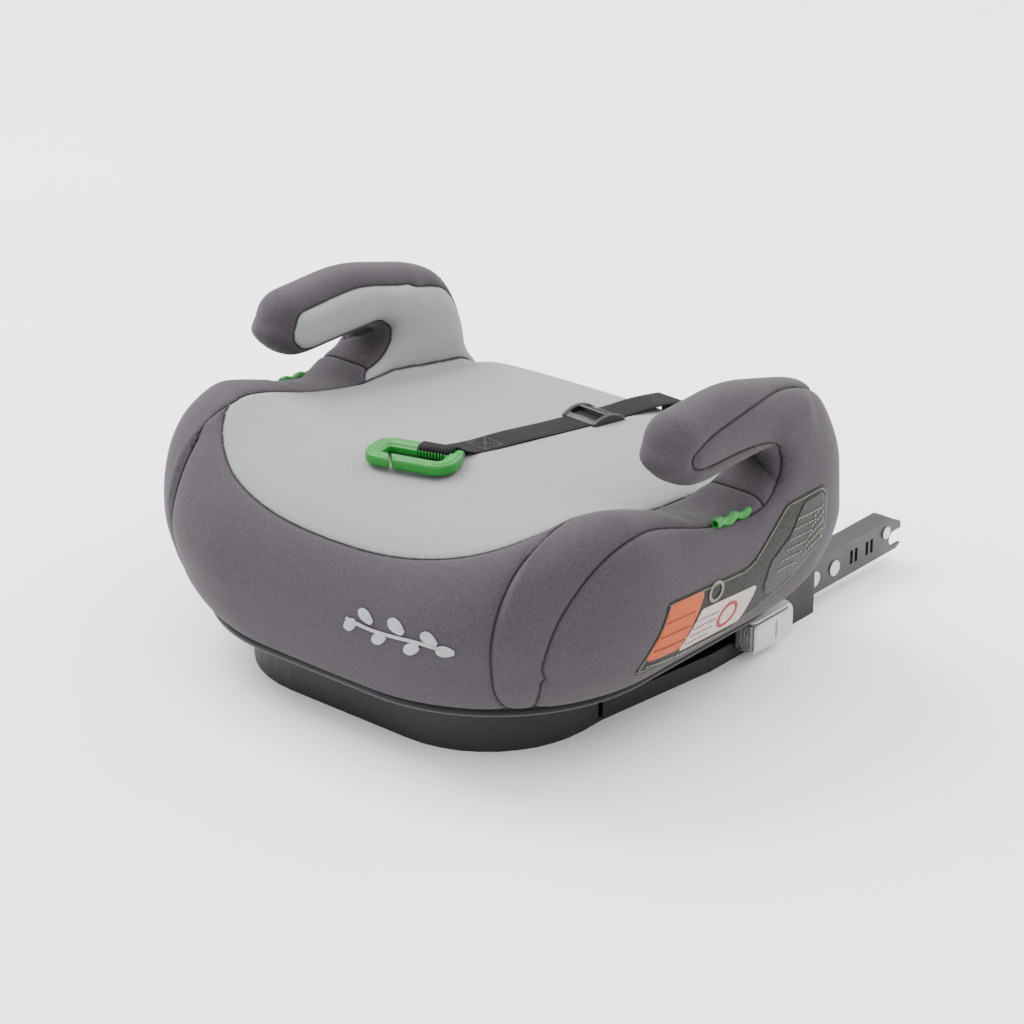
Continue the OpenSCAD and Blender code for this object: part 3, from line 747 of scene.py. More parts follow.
class Panel(Enum):
    """The cut pieces of the cover; each value ends the piece's name."""

    INSERT = "seat_insert"
    FRONT = "front_panel"
    REAR = "rear_panel"
    BAND = "side_band"
    SIDE = "side_panel"
    RIM = "armrest_rim"
    INNER = "armrest_inner"


@dataclass
class CoverShape:
    """The padded body as one field: bolstered seat, hooked armrests and tucked-under walls."""

    half_width: float = 212.0
    front: float = 245.0
    rear: float = 135.0
    front_corner: float = 130.0
    rear_corner: float = 84.0
    hem_z: float = 45.6
    inner_face: float = 152.5
    low: tuple[float, float, float] = (-222, -256, 38)
    high: tuple[float, float, float] = (222, 146, 248)
    bolster_end: float = 40.0
    edge_soft: float = 19.0
    crown_soft: float = 25.0
    root_fillet: tuple[float, float] = (7.0, 20.0)
    top_rounding: tuple[float, float] = (24.0, 22.0)
    least_rounding: float = 10.0
    side_inset: tuple = ((38, 38), (45, 33), (58, 20), (76, 9), (112, 0.5), (150, 1), (192, 6), (243, 9))
    front_inset: tuple = ((38, 13), (45, 10), (76, 3), (112, 0), (150, 2), (192, 12), (243, 30))
    middle_line: tuple = ((-262, 118), (-245, 131), (-222, 145), (-190, 154), (-150, 158), (-110, 158.5),
                          (-60, 152.5), (0, 145.5), (60, 138.5), (110, 132.5), (150, 128))
    edge_line: tuple = ((-262, 120), (-245, 136), (-222, 152), (-200, 165), (-175, 174), (-152, 177),
                        (-125, 172), (-80, 160), (-15, 149), (41, 140), (101, 130), (150, 124))
    crest_line: tuple = ((-262, 118), (-240, 140), (-215, 162), (-190, 175), (-165, 182), (-140, 183),
                         (-118, 177), (-92, 166), (-66, 155), (-40, 150), (40, 148))
    armrest: tuple = ((-24, 90, 0), (-18, 149, 24), (12, 164, 24), (14, 184, 12), (-80, 184, 15),
                      (-102, 200, 18), (-98, 238, 28), (-12, 242, 130), (114, 207, 74), (150, 60, 0))

    def __post_init__(self) -> None:
        """Prepares the curves and the armrest's outline."""
        self.curves = {key: through(*zip(*getattr(self, key)))
                       for key in ("side_inset", "front_inset", "middle_line", "edge_line", "crest_line")}
        self.armrest_outline = rounded(self.armrest)

    def plan(self, x: Array, y: Array, z: Array) -> Array:
        """Distance from the upright wall, negative inside."""
        side = self.curves["side_inset"](z)
        w = self.half_width - side
        low, high = self.curves["front_inset"](z) - self.front, self.rear - side
        middle, half = (low + high) / 2, (high - low) / 2
        radius = np.where(y < middle, self.front_corner, self.rear_corner)
        u, v = np.abs(x) - w + radius, np.abs(y - middle) - half + radius
        return np.minimum(np.maximum(u, v), 0) + np.hypot(np.maximum(u, 0), np.maximum(v, 0)) - radius

    def top(self, x: Array, y: Array) -> Array:
        """Height of the seat, its raised edges and the bolsters."""
        across = np.abs(x)
        middle, edge, crest = (self.curves[key](y) for key in ("middle_line", "edge_line", "crest_line"))
        seat = middle + (edge - middle) * np.clip(across / self.inner_face, 0, 1) ** 3.2
        bolster = ease(across, self.inner_face - 8, self.inner_face + 30) * (y < self.bolster_end)
        return seat + (crest - edge) * bolster

    def __call__(self, x: Array, y: Array, z: Array) -> Array:
        """The field of the whole body, in millimetres, negative inside."""
        across = np.abs(x)
        crown = np.maximum(ease(z, 188, 214), np.maximum(ease(y, 26, 60), ease(y, -62, -120)))
        soft = self.edge_soft + self.crown_soft * crown
        outline = outline_distance(self.armrest_outline, y, z)
        arm = smooth_max(outline, self.inner_face - across, soft)
        fillet, more_outside = self.root_fillet
        wide = ease(across, self.inner_face - 4, self.inner_face + 10)
        body = smooth_min(z - self.top(x, y), arm, fillet + more_outside * wide)
        seat, more_in_front = self.top_rounding
        rounding = np.where(across < self.inner_face, seat + more_in_front * ease(y, -120, -200), 0)
        rounding = np.maximum(rounding, soft * ease(across, self.inner_face - 30, self.inner_face + 10))
        walls = smooth_max(self.plan(x, y, z), body, np.maximum(rounding, self.least_rounding))
        return smooth_max(walls, self.hem_z - 3 - z, 4)


@dataclass
class Seams:
    """Where the cover is cut: each method is a field that is negative on its panel."""

    insert_plan: tuple = ((0, -222), (40, -220.5), (76, -215), (106, -205), (130, -189), (146, -171),
                          (154, -153), (159, -122), (160, -84), (156, -45), (152.6, -14), (151.6, 20),
                          (151.6, 100), (151.6, 150))
    side_curve: tuple = ((-150, 20), (-184, 44), (-199, 73), (-203, 102), (-196, 128), (-182, 149),
                         (-165, 162), (-142, 169.5), (-122, 169.5), (-92, 162), (-62, 153), (-40, 149.5),
                         (-20, 149), (-6, 152.5), (6, 159), (14.5, 168), (16, 178), (9, 188), (-8, 194),
                         (-36, 196.5), (-64, 197), (-79, 199.5), (-82, 205), (-77, 211), (-62, 216),
                         (-38, 219.5), (-10, 222), (22, 221.5), (52, 215.5), (78, 203), (97, 184),
                         (107, 160), (110, 125), (104, 90), (86, 56), (72, 20))
    front_curve: tuple = ((30, 137), (45, 140), (80, 145), (115, 148.5), (140, 149), (159, 150),
                          (176, 154), (240, 154))
    inner_plane: float = 158.0
    rear_z: float = 127.0
    lining_y: float = -9.0
    insert_top: float = 183.0
    side_plane: float = 172.0
    rim_z: float = 176.0

    def __post_init__(self) -> None:
        """Prepares the outlines."""
        half = np.array(self.insert_plan, float)
        smooth = spline(half, 4)
        self.insert_outline = np.concatenate([smooth, (smooth * [-1, 1])[::-1]])
        self.side_outline = spline(self.side_curve, 4, closed=True)
        self.front_x = through(*zip(*self.front_curve))

    def insert(self, p: Array, shape: CoverShape) -> Array:
        """The light seat insert, on top between the side edges; it turns over the back edge."""
        plan = outline_distance(self.insert_outline, p[:, 0], p[:, 1])
        behind = np.where(p[:, 1] > 60, self.rear_z - p[:, 2], -50)
        return np.maximum(np.maximum(plan, behind), p[:, 2] - self.insert_top)

    def side(self, p: Array, shape: CoverShape) -> Array:
        """The outer wall of one side, with its tongue along the armrest."""
        inward = self.side_plane - np.abs(p[:, 0]) - 1.2 * np.maximum(0, 80 - p[:, 2])
        return np.maximum(outline_distance(self.side_outline, p[:, 1], p[:, 2]), inward)

    def inner(self, p: Array, shape: CoverShape) -> Array:
        """The light inner face of an armrest."""
        outline = outline_distance(shape.armrest_outline, p[:, 1], p[:, 2])
        rim = 22 * ease(p[:, 1], 0, 50) - 2.5
        face = np.maximum(np.abs(p[:, 0]) - self.inner_plane, outline + rim)
        return np.maximum(face, self.rear_z - p[:, 2])

    def behind(self, p: Array, shape: CoverShape) -> Array:
        """The back wall below the seat's edge."""
        return np.maximum(p[:, 2] - self.rear_z, 20 - p[:, 1])

    def rim(self, p: Array, shape: CoverShape) -> Array:
        """The strip round an armrest, with the lining of the belt mouth."""
        over = self.rim_z + np.maximum(0, -100 - p[:, 1]) - p[:, 2]
        return np.minimum(self.lining_y - p[:, 1], over)

    def nose(self, p: Array, shape: CoverShape) -> Array:
        """The panel across the front."""
        return np.abs(p[:, 0]) - self.front_x(p[:, 2])


class Cutting:
    """A mesh that is cut along fields, so that its seams run through its points."""

    def __init__(self, points: Array, faces: Array, shape: CoverShape, cell: float) -> None:
        """Keeps the mesh that is cut."""
        self.points, self.shape, self.cell = points, shape, cell
        self.faces: list[list[int]] = [list(f) for f in faces]

    def snap(self, rule: Callable[[Array, CoverShape], Array], of: Array) -> None:
        """Moves points that lie close to a seam onto it, along the surface.

        Args:
            rule: The seam's field.
            of: Which points may move.
        """
        close, step = 0.34 * self.cell, 0.3
        for _ in range(2):
            value = rule(self.points, self.shape)
            near = np.nonzero(of & (np.abs(value) < close))[0]
            p = self.points[near]
            slope = np.stack([(rule(p + d, self.shape) - rule(p - d, self.shape)) / (2 * step)
                              for d in np.eye(3) * step], 1)
            normal = gradient(self.shape, p)
            slope -= normal * (slope * normal).sum(1, keepdims=True)
            size = (slope * slope).sum(1)
            move = slope * (value[near] / np.maximum(size, 0.2))[:, None]
            length = np.linalg.norm(move, axis=1, keepdims=True)
            move *= np.minimum(1, 0.6 * self.cell / np.maximum(length, TINY))
            self.points[near] = self.held(p, settle(self.shape, p - move, 2), self.cell)

    @staticmethod
    def held(before: Array, after: Array, reach: float) -> Array:
        """Keeps the moved points, but puts back each that went further than reach."""
        far = np.linalg.norm(after - before, axis=1) > reach
        return np.where(far[:, None], before, after)

    def split(self, faces: list[list[int]],
              rule: Callable[[Array, CoverShape], Array]) -> tuple[list, list]:
        """Cuts faces along a seam.

        Args:
            faces: The faces to cut.
            rule: The seam's field, negative on the first side.

        Returns:
            The faces on the negative side, and the others.
        """
        used = np.zeros(len(self.points), bool)
        used[points_of(faces)] = True
        self.snap(rule, used)
        value = rule(self.points, self.shape)
        value[np.abs(value) < 0.04 * self.cell] = 0
        sign = np.sign(value).astype(int)
        minus, plus, made = [], [], {}
        fresh: list[Array] = []
        for f in faces:
            signs = sign[f]
            if signs.max() <= 0 or signs.min() >= 0:
                (minus if signs.min() < 0 else plus).append(f)
                continue
            halves: dict[int, list[int]] = {-1: [], 1: []}
            for k, b in enumerate(f):
                a = f[k - 1]
                if sign[a] * sign[b] < 0:
                    key = (min(a, b), max(a, b))
                    if key not in made:
                        t = value[a] / (value[a] - value[b])
                        fresh.append(self.points[a] + t * (self.points[b] - self.points[a]))
                        made[key] = len(self.points) + len(fresh) - 1
                    halves[-1].append(made[key])
                    halves[1].append(made[key])
                for side in (-1, 1):
                    if sign[b] in (0, side):
                        halves[side].append(b)
            minus.append(halves[-1])
            plus.append(halves[1])
        if fresh:
            cut = np.array(fresh)
            cut = self.held(cut, settle(self.shape, cut, 2), 0.4 * self.cell)
            self.points = np.concatenate([self.points, cut])
        return [f for f in minus if len(f) > 2], [f for f in plus if len(f) > 2]


@dataclass
class PaddedCover:
    """The sewn cover over its foam: panels of knit, tucked along their seams."""

    cell: float = 4.0
    evening: float = 0.55
    evening_rounds: int = 6
    pressure: float = 3.0
    frames: int = 16
    hold_width: float = 14.0
    sink: float = 0.4
    swell: float = 3.5
    tuck: float = 1.9
    tuck_width: float = 1.9
    shoulder_drop: float = 0.9
    shoulder: float = 9.0
    hem_drop: float = 3.0
    hem_width: float = 2.2
    # Width over which the painted seam shade fades out.
    seam_shade_width: float = 4.5
    wall: float = 5.0
    smooth_step: float = 1.5
    fold_depth: float = 5.2
    folds_a_turn: float = 5.4
    drift: float = 0.35
    hollow_depth: float = 2.0
    shape: CoverShape = field(default_factory=CoverShape)
    seams: Seams = field(default_factory=Seams)

    def skin(self) -> Cutting:
        """The whole body as one even mesh, settled on its field."""
        shape = self.shape
        points, faces = even_skin(shape, shape.low, shape.high, self.cell, self.evening,
                                  self.evening_rounds)
        return Cutting(points, faces, shape, self.cell)

    def cut(self, body: Cutting) -> dict[tuple[Panel, int], list[list[int]]]:
        """Cuts the body into its panels and drops what lies under the hem.

        Args:
            body: The whole body.

        Returns:
            The faces of each panel and side; a panel across the middle has side 0.
        """
        _, rest = body.split(body.faces, lambda p, s: p[:, 2] - s.hem_z)
        out = {}
        out[Panel.INSERT, 0], rest = body.split(rest, self.seams.insert)
        side, rest = body.split(rest, self.seams.side)
        inner, rest = body.split(rest, self.seams.inner)
        out[Panel.REAR, 0], rest = body.split(rest, self.seams.behind)
        rim, rest = body.split(rest, self.seams.rim)
        out[Panel.FRONT, 0], band = body.split(rest, self.seams.nose)
        pairs = {Panel.SIDE: side, Panel.INNER: inner, Panel.RIM: rim, Panel.BAND: band}
        for panel, faces in pairs.items():
            for hand in (LEFT, RIGHT):
                out[panel, hand] = [f for f in faces if hand * body.points[f, 0].mean() > 0]
        return out

    def seam_samples(self, points: Array, panels: dict) -> Array:
        """Points along every seam, close together; the hem is no seam.

        Args:
            points: The mesh's points.
            panels: The faces of each panel.

        Returns:
            The samples.
        """
        edges: set[tuple[int, int]] = set()
        for faces in panels.values():
            count: dict[tuple[int, int], int] = {}
            for f in faces:
                for k, b in enumerate(f):
                    key = (min(f[k - 1], b), max(f[k - 1], b))
                    count[key] = count.get(key, 0) + 1
            edges |= {key for key, times in count.items() if times == 1}
        rims = np.array(sorted(edges))
        a, b = points[rims[:, 0]], points[rims[:, 1]]
        keep = np.maximum(a[:, 2], b[:, 2]) > self.shape.hem_z + 0.5
        steps = np.arange(4)[:, None, None] / 4
        return (a[keep] + steps * (b[keep] - a[keep])).reshape(-1, 3)

    def inflate(self, points: Array, panels: dict, seams: "Nearest") -> Array:
        """Lets the padding swell between the seams, by cloth simulation with the seams held.

        Args:
            points: The points of the whole cover.
            panels: The faces of each panel.
            seams: Distances to the seams.

        Returns:
            The points after the padding has swollen.
        """
        faces = [f for group in panels.values() for f in group]
        piece = make_object("cover_blank", points, faces)
        held = piece.vertex_groups.new(name="held")
        hold = np.clip(1 - seams.distance(points) / self.hold_width, 0.02, 1) ** 2
        hold[points[:, 2] < self.shape.hem_z + 8] = 1
        for i, weight in enumerate(hold):
            held.add([i], float(weight), "REPLACE")
        cloth = piece.modifiers.new("Padding", "CLOTH")
        settings = {"quality": 4, "mass": 0.35, "tension_stiffness": 18, "compression_stiffness": 18,
                    "bending_stiffness": 3, "use_pressure": True, "uniform_pressure_force": self.pressure,
                    "vertex_group_mass": "held", "pin_stiffness": 1.2}
        for key, value in settings.items():
            setattr(cloth.settings, key, value)
        cloth.settings.effector_weights.gravity = 0
        cloth.point_cache.frame_start, cloth.point_cache.frame_end = 1, self.frames
        for frame in range(1, self.frames + 1):
            bpy.context.scene.frame_set(frame)
        moved = coordinates(bake(piece))
        bpy.context.scene.frame_set(1)
        bpy.data.objects.remove(piece)
        normal = gradient(self.shape, points, self.smooth_step)
        rise = ((moved - points) * normal).sum(1, keepdims=True)
        return points + normal * np.clip(rise, -self.sink, self.swell)

    def gather(self, p: Array, normal: Array) -> Array:
        """Folds and soft hollows of the cloth, as a movement along the surface's direction.

        Args:
            p: Points on the cover.
            normal: Outward directions there.

        Returns:
            The movements.
        """
        x, y, z = p.T
        across = np.abs(x)
        turn = np.arctan2(z - 170, y + 22) + 0.012 * (across - 195)
        folds = 1 - np.abs(np.sin(turn * self.folds_a_turn + 0.5))
        in_mouth = ease(-normal[:, 1], 0.25, 0.7) * ease(y, -20, 0) * (1 - ease(z, 184, 192))
        in_mouth = in_mouth * (z > 140) * (y < 34) * ease(across, 160, 176)
        depth = -self.fold_depth * in_mouth * folds**4
        drift = np.sin(x / 31 + 1.3) * np.sin(y / 37 + z / 43)
        drift = drift + 0.6 * np.sin(y / 23 - x / 29) * np.sin(z / 26 + 0.7)
        faces_in = normal[:, 0] * np.sign(x) < -0.5
        hollow = -self.hollow_depth * bell(y - 38, 26) * bell(z - 168, 15) * faces_in
        return normal * (depth + self.drift * drift + hollow)[:, None]

    def build(self, finishes: dict[Panel, Material]) -> dict[tuple[Panel, int], Piece]:
        """Makes every panel of the cover as its own padded piece.

        Args:
            finishes: The fabric of each kind of panel.

        Returns:
            The pieces by panel and side.
        """
        body = self.skin()
        panels = self.cut(body)
        points = body.points
        LOG.info("cover cut from %d points into %d panels", len(points), len(panels))
        seams = Nearest(self.seam_samples(points, panels))
        points = self.inflate(points, panels, seams)
        seams = Nearest(self.seam_samples(points, panels))
        made = {}
        for (panel, hand), faces in panels.items():
            used = points_of(faces)
            piece = make_object(panel.value + SIDE_ENDING[hand] + "_cloth", points[used],
                                renumber(faces, used), finishes[panel])
            subdivide(piece)
            p = coordinates(piece)
            normal = gradient(self.shape, p, self.smooth_step)
            away = seams.distance(p)
            lap = (-self.tuck * np.exp(-((away / self.tuck_width) ** 1.4))
                   - self.shoulder_drop * bell(away, self.shoulder))
            above_hem = np.maximum(p[:, 2] - self.shape.hem_z, 0)
            hem = -self.hem_drop * np.exp(-above_hem / self.hem_width)
            place_points(piece, p + normal * (lap + hem)[:, None] + self.gather(p, normal))
            # Painted shade along the seams: 1 on a seam, fading to 0 across the width set above.
            marks = piece.data.attributes.new(SEAM_SHADE_MARK, "FLOAT", "POINT")
            marks.data.foreach_set("value", np.clip(1 - away / self.seam_shade_width, 0, 1))
            made[panel, hand] = thicken(piece, self.wall, normal)
        return made


class Nearest:
    """Distances to the nearest of many points."""

    def __init__(self, points: Array) -> None:
        """Sorts the points into a tree."""
        self.tree = kdtree.KDTree(len(points))
        for i, p in enumerate(points):
            self.tree.insert(p, i)
        self.tree.balance()

    def distance(self, places: Array) -> Array:
        """Distance from each place to the nearest point."""
        return np.array([self.tree.find(p)[2] for p in places])


# ---- Small moulded parts as fields -------------------------------------------------------


def round_box(low: Sequence[float], high: Sequence[float], radius: float) -> Field:
    """The field of a box with rounded edges between two corners."""
    middle = [(a + b) / 2 for a, b in zip(low, high)]
    half = [(b - a) / 2 - radius for a, b in zip(low, high)]

    def read(x: Array, y: Array, z: Array) -> Array:
        """Distance from the box."""
        u, v, w = (np.abs(c - m) - h for c, m, h in zip((x, y, z), middle, half))
        outer = np.sqrt(np.maximum(u, 0) ** 2 + np.maximum(v, 0) ** 2 + np.maximum(w, 0) ** 2)
        return outer + np.minimum(np.maximum(np.maximum(u, v), w), 0) - radius

    return read


def field_object(name: str, shape: Field, low: Sequence[float], high: Sequence[float], cell: float,
                 finish: Material, place: Matrix | None = None) -> Piece:
    """A moulded piece from its field.

    Args:
        name: The piece's name.
        shape: Its field, in the piece's own axes.
        low: Lowest corner of the room it takes.
        high: Highest corner of that room.
        cell: Size of its faces.
        finish: Its material.
        place: Turns and moves it into the frame.

    Returns:
        The piece.
    """
    points, faces = even_skin(shape, low, high, cell, 0.3, 3)
    if place is not None:
        turn, move = np.array(place.to_3x3()), np.array(place.translation)
        points = points @ turn.T + move
        if np.linalg.det(turn) < 0:
            faces = faces[:, ::-1]
    return make_object(name, points, faces, finish)


def mirror_hand(hand: int) -> Matrix:
    """The matrix that carries a piece made for the sitter's left to its own side."""
    return Matrix.Scale(hand, 4, Vector((1, 0, 0)))


@dataclass
class StrapFrame:
    """The webbing's own axes: origin at the back edge, Y along the webbing."""

    root: tuple[float, float] = (15.0, 135.0)
    turn: float = -3.5
    slope: float = -31 / 260
    flat_y: float = -110.0
    flat_z: float = 161.4

    def matrix(self) -> Matrix:
        """From the strap's axes to the frame."""
        return Matrix.Translation((*self.root, 0)) @ Matrix.Rotation(math.radians(self.turn), 4, "Z")

    def height(self, y: Array | float) -> Array | float:
        """Height of the webbing's underside at y in the strap's axes."""
        return self.flat_z + self.slope * (self.root[1] + y - self.flat_y)


@dataclass
class BeltStrap:
    """Woven webbing: looped and sewn round the clip's bar, laid over the seat and anchored behind."""

    frame: StrapFrame
    width: float = 25.0
    thickness: float = 1.5
    loop_y: float = -243.0
    loop_rise: float = 3.9
    loop_radius: float = 5.4
    loop_turn: float = 20.0
    seam_bulge: tuple[float, float, float] = (-168.0, 26.0, 0.8)
    slider_bulge: tuple[float, float, float] = (-85.0, 10.0, 2.4)
    edge_bulge: tuple[float, float, float] = (-28.0, 24.0, 1.6)
    sewn_box: tuple = ((-9, -207), (9, -207), (9, -189), (-9, -189), (-9, -207), (9, -189), (9, -207),
                       (-9, -189))

    def top(self, y: float, lift: float, *bulges: tuple[float, float, float]) -> float:
        """Height at y in the strap's axes: lift over the seat, and more over each bulge."""
        return self.frame.height(y) + lift + sum(rise * bell(y - at, width) for at, width, rise in bulges)

    def path(self) -> Array:
        """The webbing's middle line in the strap's axes, as (y, z), from its sewn end to the anchor."""
        h, loop = self.frame.height, self.loop_y
        bar_z = h(loop) + self.loop_rise
        under = [(y, h(y) - 0.85 - 1.1 * math.sin((y + 110) / 26) ** 2 * (y < -125))
                 for y in range(-110, -227, -8)]
        ring = [(loop + self.loop_radius * math.cos(a), bar_z + self.loop_radius * math.sin(a))
                for a in np.radians(np.arange(-70, -291, -20))]
        over = [(loop + step, h(loop + step) + lift) for step, lift in ((9, 5.6), (18, 2.9), (30, 1.5))]
        run = [(y, self.top(y, 0.9, self.seam_bulge, self.slider_bulge, self.edge_bulge))
               for y in range(-201, 0, 8)]
        fold = [(1.5, h(0) + 0.3), (4.2, h(4) - 2.4), (4.6, h(4) - 8), (4.2, 116), (5.6, 112.9), (9.6, 112.8)]
        return spline(under + ring + over + run + fold, 3)

    def section(self) -> list[tuple[float, float]]:
        """The webbing's section, with its edges drawn in."""
        half, thick = self.width / 2, self.thickness / 2
        upper = [(u, thick) for u in (-half + 0.5, -half / 2, 0, half / 2, half - 0.5)]
        return [(-half, 0), *upper, (half, 0), *((u, -v) for u, v in upper[::-1])]

    def build(self, webbing: Material, thread: Material) -> list[Piece]:
        """Makes the webbing and the stitches that close its loop."""
        path, ring, place = self.path(), self.section(), self.frame.matrix()
        step = np.gradient(path, axis=0)
        step /= np.linalg.norm(step, axis=1, keepdims=True)
        normal = np.stack([-step[:, 1], step[:, 0]], 1)
        along = np.concatenate([[0], np.cumsum(np.linalg.norm(np.diff(path, axis=0), axis=1))])
        straight = ease(path[:, 0], self.loop_y + 4, self.loop_y + 40)
        turned = math.tan(math.radians(self.loop_turn)) * (1 - straight)
        points, uv = [], []
        for (y, z), n, s, slant in zip(path, normal, along, turned):
            for u, v in ring:
                points.append(tuple(place @ Vector((u, y + n[0] * v + u * slant, z + n[1] * v))))
                uv.append((s * MM, u * MM))
        m = len(ring)
        faces = [(i * m + j, i * m + (j + 1) % m, (i + 1) * m + (j + 1) % m, (i + 1) * m + j)
                 for i in range(len(path) - 1) for j in range(m)]
        faces += [tuple(range(m))[::-1], tuple(range((len(path) - 1) * m, len(path) * m))]
        strap = make_object("webbing_strap", np.array(points), faces, webbing)
        layer = strap.data.uv_layers.new(name="UVMap")
        for loop in strap.data.loops:
            layer.data[loop.index].uv = uv[loop.vertex_index]
        outward(strap)
        lift = 0.9 + self.thickness / 2 + 0.25
        corners = [tuple(place @ Vector((u, y, self.top(y, lift, self.seam_bulge))))
                   for u, y in self.sewn_box]
        stitches = StitchRow("strap_stitches", pitch=2.6, length=1.9, thread=0.3).build([corners], thread)
        return [strap, stitches]


def outward(piece: Piece) -> Piece:
    """Turns a closed piece's faces outwards."""
    mesh = bmesh.new()
    mesh.from_mesh(piece.data)
    bmesh.ops.recalc_face_normals(mesh, faces=mesh.faces)
    mesh.to_mesh(piece.data)
    mesh.free()
    return piece


def run_tree(name: str, curves: Curves, tree: bpy.types.NodeTree,
             sizes: dict[str, float], finish: Material) -> Piece:
    """Runs a node tree over curves and keeps the plain mesh it makes.

    Args:
        name: The piece's name.
        curves: Points of each curve, in millimetres.
        tree: The node tree.
        sizes: The tree's inputs by name, in metres.
        finish: The material of the mesh.

    Returns:
        The piece.
    """
    data = bpy.data.curves.new(name + "_path", "CURVE")
    data.dimensions = "3D"
    for points in curves:
        line = data.splines.new("POLY")
        line.points.add(len(points) - 1)
        for knot, p in zip(line.points, points):
            knot.co = (*(Vector(p) * MM), 1)
    path = bpy.data.objects.new(name + "_path", data)
    bpy.context.scene.collection.objects.link(path)
    modifier = path.modifiers.new("Tree", "NODES")
    modifier.node_group = tree
    for item in tree.interface.items_tree:
        if item.in_out == "INPUT" and item.name in sizes:
            modifier[item.identifier] = sizes[item.name]
    depsgraph = bpy.context.evaluated_depsgraph_get()
    mesh = bpy.data.meshes.new_from_object(path.evaluated_get(depsgraph), depsgraph=depsgraph)
    bpy.data.objects.remove(path)
    mesh.shade_smooth()
    if not mesh.materials:
        mesh.materials.append(finish)
    piece = bpy.data.objects.new(name, mesh)
    bpy.context.scene.collection.objects.link(piece)
    return piece


def begin_tree(name: str, sizes: Sequence[str]) -> tuple[bpy.types.NodeTree, bpy.types.Node]:
    """Starts a node tree over curves.

    Args:
        name: The piece's name.
        sizes: Names of the tree's number inputs.

    Returns:
        The tree and the node that holds its inputs.
    """
    tree = bpy.data.node_groups.new(name + "_tree", "GeometryNodeTree")
    tree.interface.new_socket("Geometry", in_out="INPUT", socket_type="NodeSocketGeometry")
    for label in sizes:
        tree.interface.new_socket(label, in_out="INPUT", socket_type="NodeSocketFloat")
    tree.interface.new_socket("Geometry", in_out="OUTPUT", socket_type="NodeSocketGeometry")
    return tree, tree.nodes.new("NodeGroupInput")


def end_tree(tree: bpy.types.NodeTree, made: Socket, finish: Material) -> None:
    """Ends a node tree: makes its instances real and gives them their material."""
    real, dress = (tree.nodes.new("GeometryNode" + kind) for kind in ("RealizeInstances", "SetMaterial"))
    dress.inputs["Material"].default_value = finish
    tree.links.new(made, real.inputs[0])
    tree.links.new(real.outputs[0], dress.inputs["Geometry"])
    tree.links.new(dress.outputs[0], tree.nodes.new("NodeGroupOutput").inputs[0])


@dataclass
class StitchRow:
    """A row of thread stitches along curves, laid by a node tree."""

    name: str
    pitch: float
    length: float
    thread: float
    seed: int = 7
    shortest: float = 0.86

    def tree(self, thread: Material) -> bpy.types.NodeTree:
        """Builds the node tree: capsules at even steps, turned along the curve, of uneven length."""
        tree, enter = begin_tree(self.name, ("Pitch", "Length", "Thread"))
        new, link = tree.nodes.new, tree.links.new
        points = new("GeometryNodeCurveToPoints")
        points.mode = "LENGTH"
        link(enter.outputs["Geometry"], points.inputs["Curve"])
        link(enter.outputs["Pitch"], points.inputs["Length"])
        capsule = new("GeometryNodeMeshUVSphere")
        for label, value in (("Segments", 6), ("Rings", 5), ("Radius", 1.0)):
            capsule.inputs[label].default_value = value
        size = new("ShaderNodeCombineXYZ")
        for axis, label in (("X", "Thread"), ("Y", "Thread"), ("Z", "Length")):
            link(enter.outputs[label], size.inputs[axis])
        wander = new("FunctionNodeRandomValue")
        wander.data_type = "FLOAT"
        wander.inputs[2].default_value, wander.inputs[3].default_value = self.shortest, 1.0
        wander.inputs["Seed"].default_value = self.seed
        scale = new("ShaderNodeVectorMath")
        scale.operation = "SCALE"
        link(size.outputs[0], scale.inputs[0])
        link(wander.outputs[1], scale.inputs["Scale"])
        place = new("GeometryNodeInstanceOnPoints")
        link(points.outputs["Points"], place.inputs["Points"])
        link(capsule.outputs["Mesh"], place.inputs["Instance"])
        link(points.outputs["Rotation"], place.inputs["Rotation"])
        link(scale.outputs[0], place.inputs["Scale"])
        end_tree(tree, place.outputs[0], thread)
        return tree

    def build(self, curves: Curves, thread: Material) -> Piece:
        """Lays stitches along curves given in millimetres."""
        sizes = {"Pitch": self.pitch * MM, "Length": self.length / 2 * MM, "Thread": self.thread * MM}
        return run_tree(self.name, curves, self.tree(thread), sizes, thread)


@dataclass
class SatinThread:
    """Lies a round thread along every curve, by a node tree."""

    name: str
    radius: float
    sides: int = 5

    def tree(self, thread: Material) -> bpy.types.NodeTree:
        """Builds the node tree: a round section swept along each curve."""
        tree, enter = begin_tree(self.name, ("Radius",))
        ring = tree.nodes.new("GeometryNodeCurvePrimitiveCircle")
        sweep = tree.nodes.new("GeometryNodeCurveToMesh")
        ring.inputs["Resolution"].default_value = self.sides
        sweep.inputs["Fill Caps"].default_value = True
        tree.links.new(enter.outputs["Radius"], ring.inputs["Radius"])
        tree.links.new(enter.outputs["Geometry"], sweep.inputs["Curve"])
        tree.links.new(ring.outputs[0], sweep.inputs["Profile Curve"])
        end_tree(tree, sweep.outputs[0], thread)
        return tree

    def build(self, curves: Curves, thread: Material) -> Piece:
        """Sweeps the thread along curves given in millimetres."""
        return run_tree(self.name, curves, self.tree(thread), {"Radius": self.radius * MM}, thread)


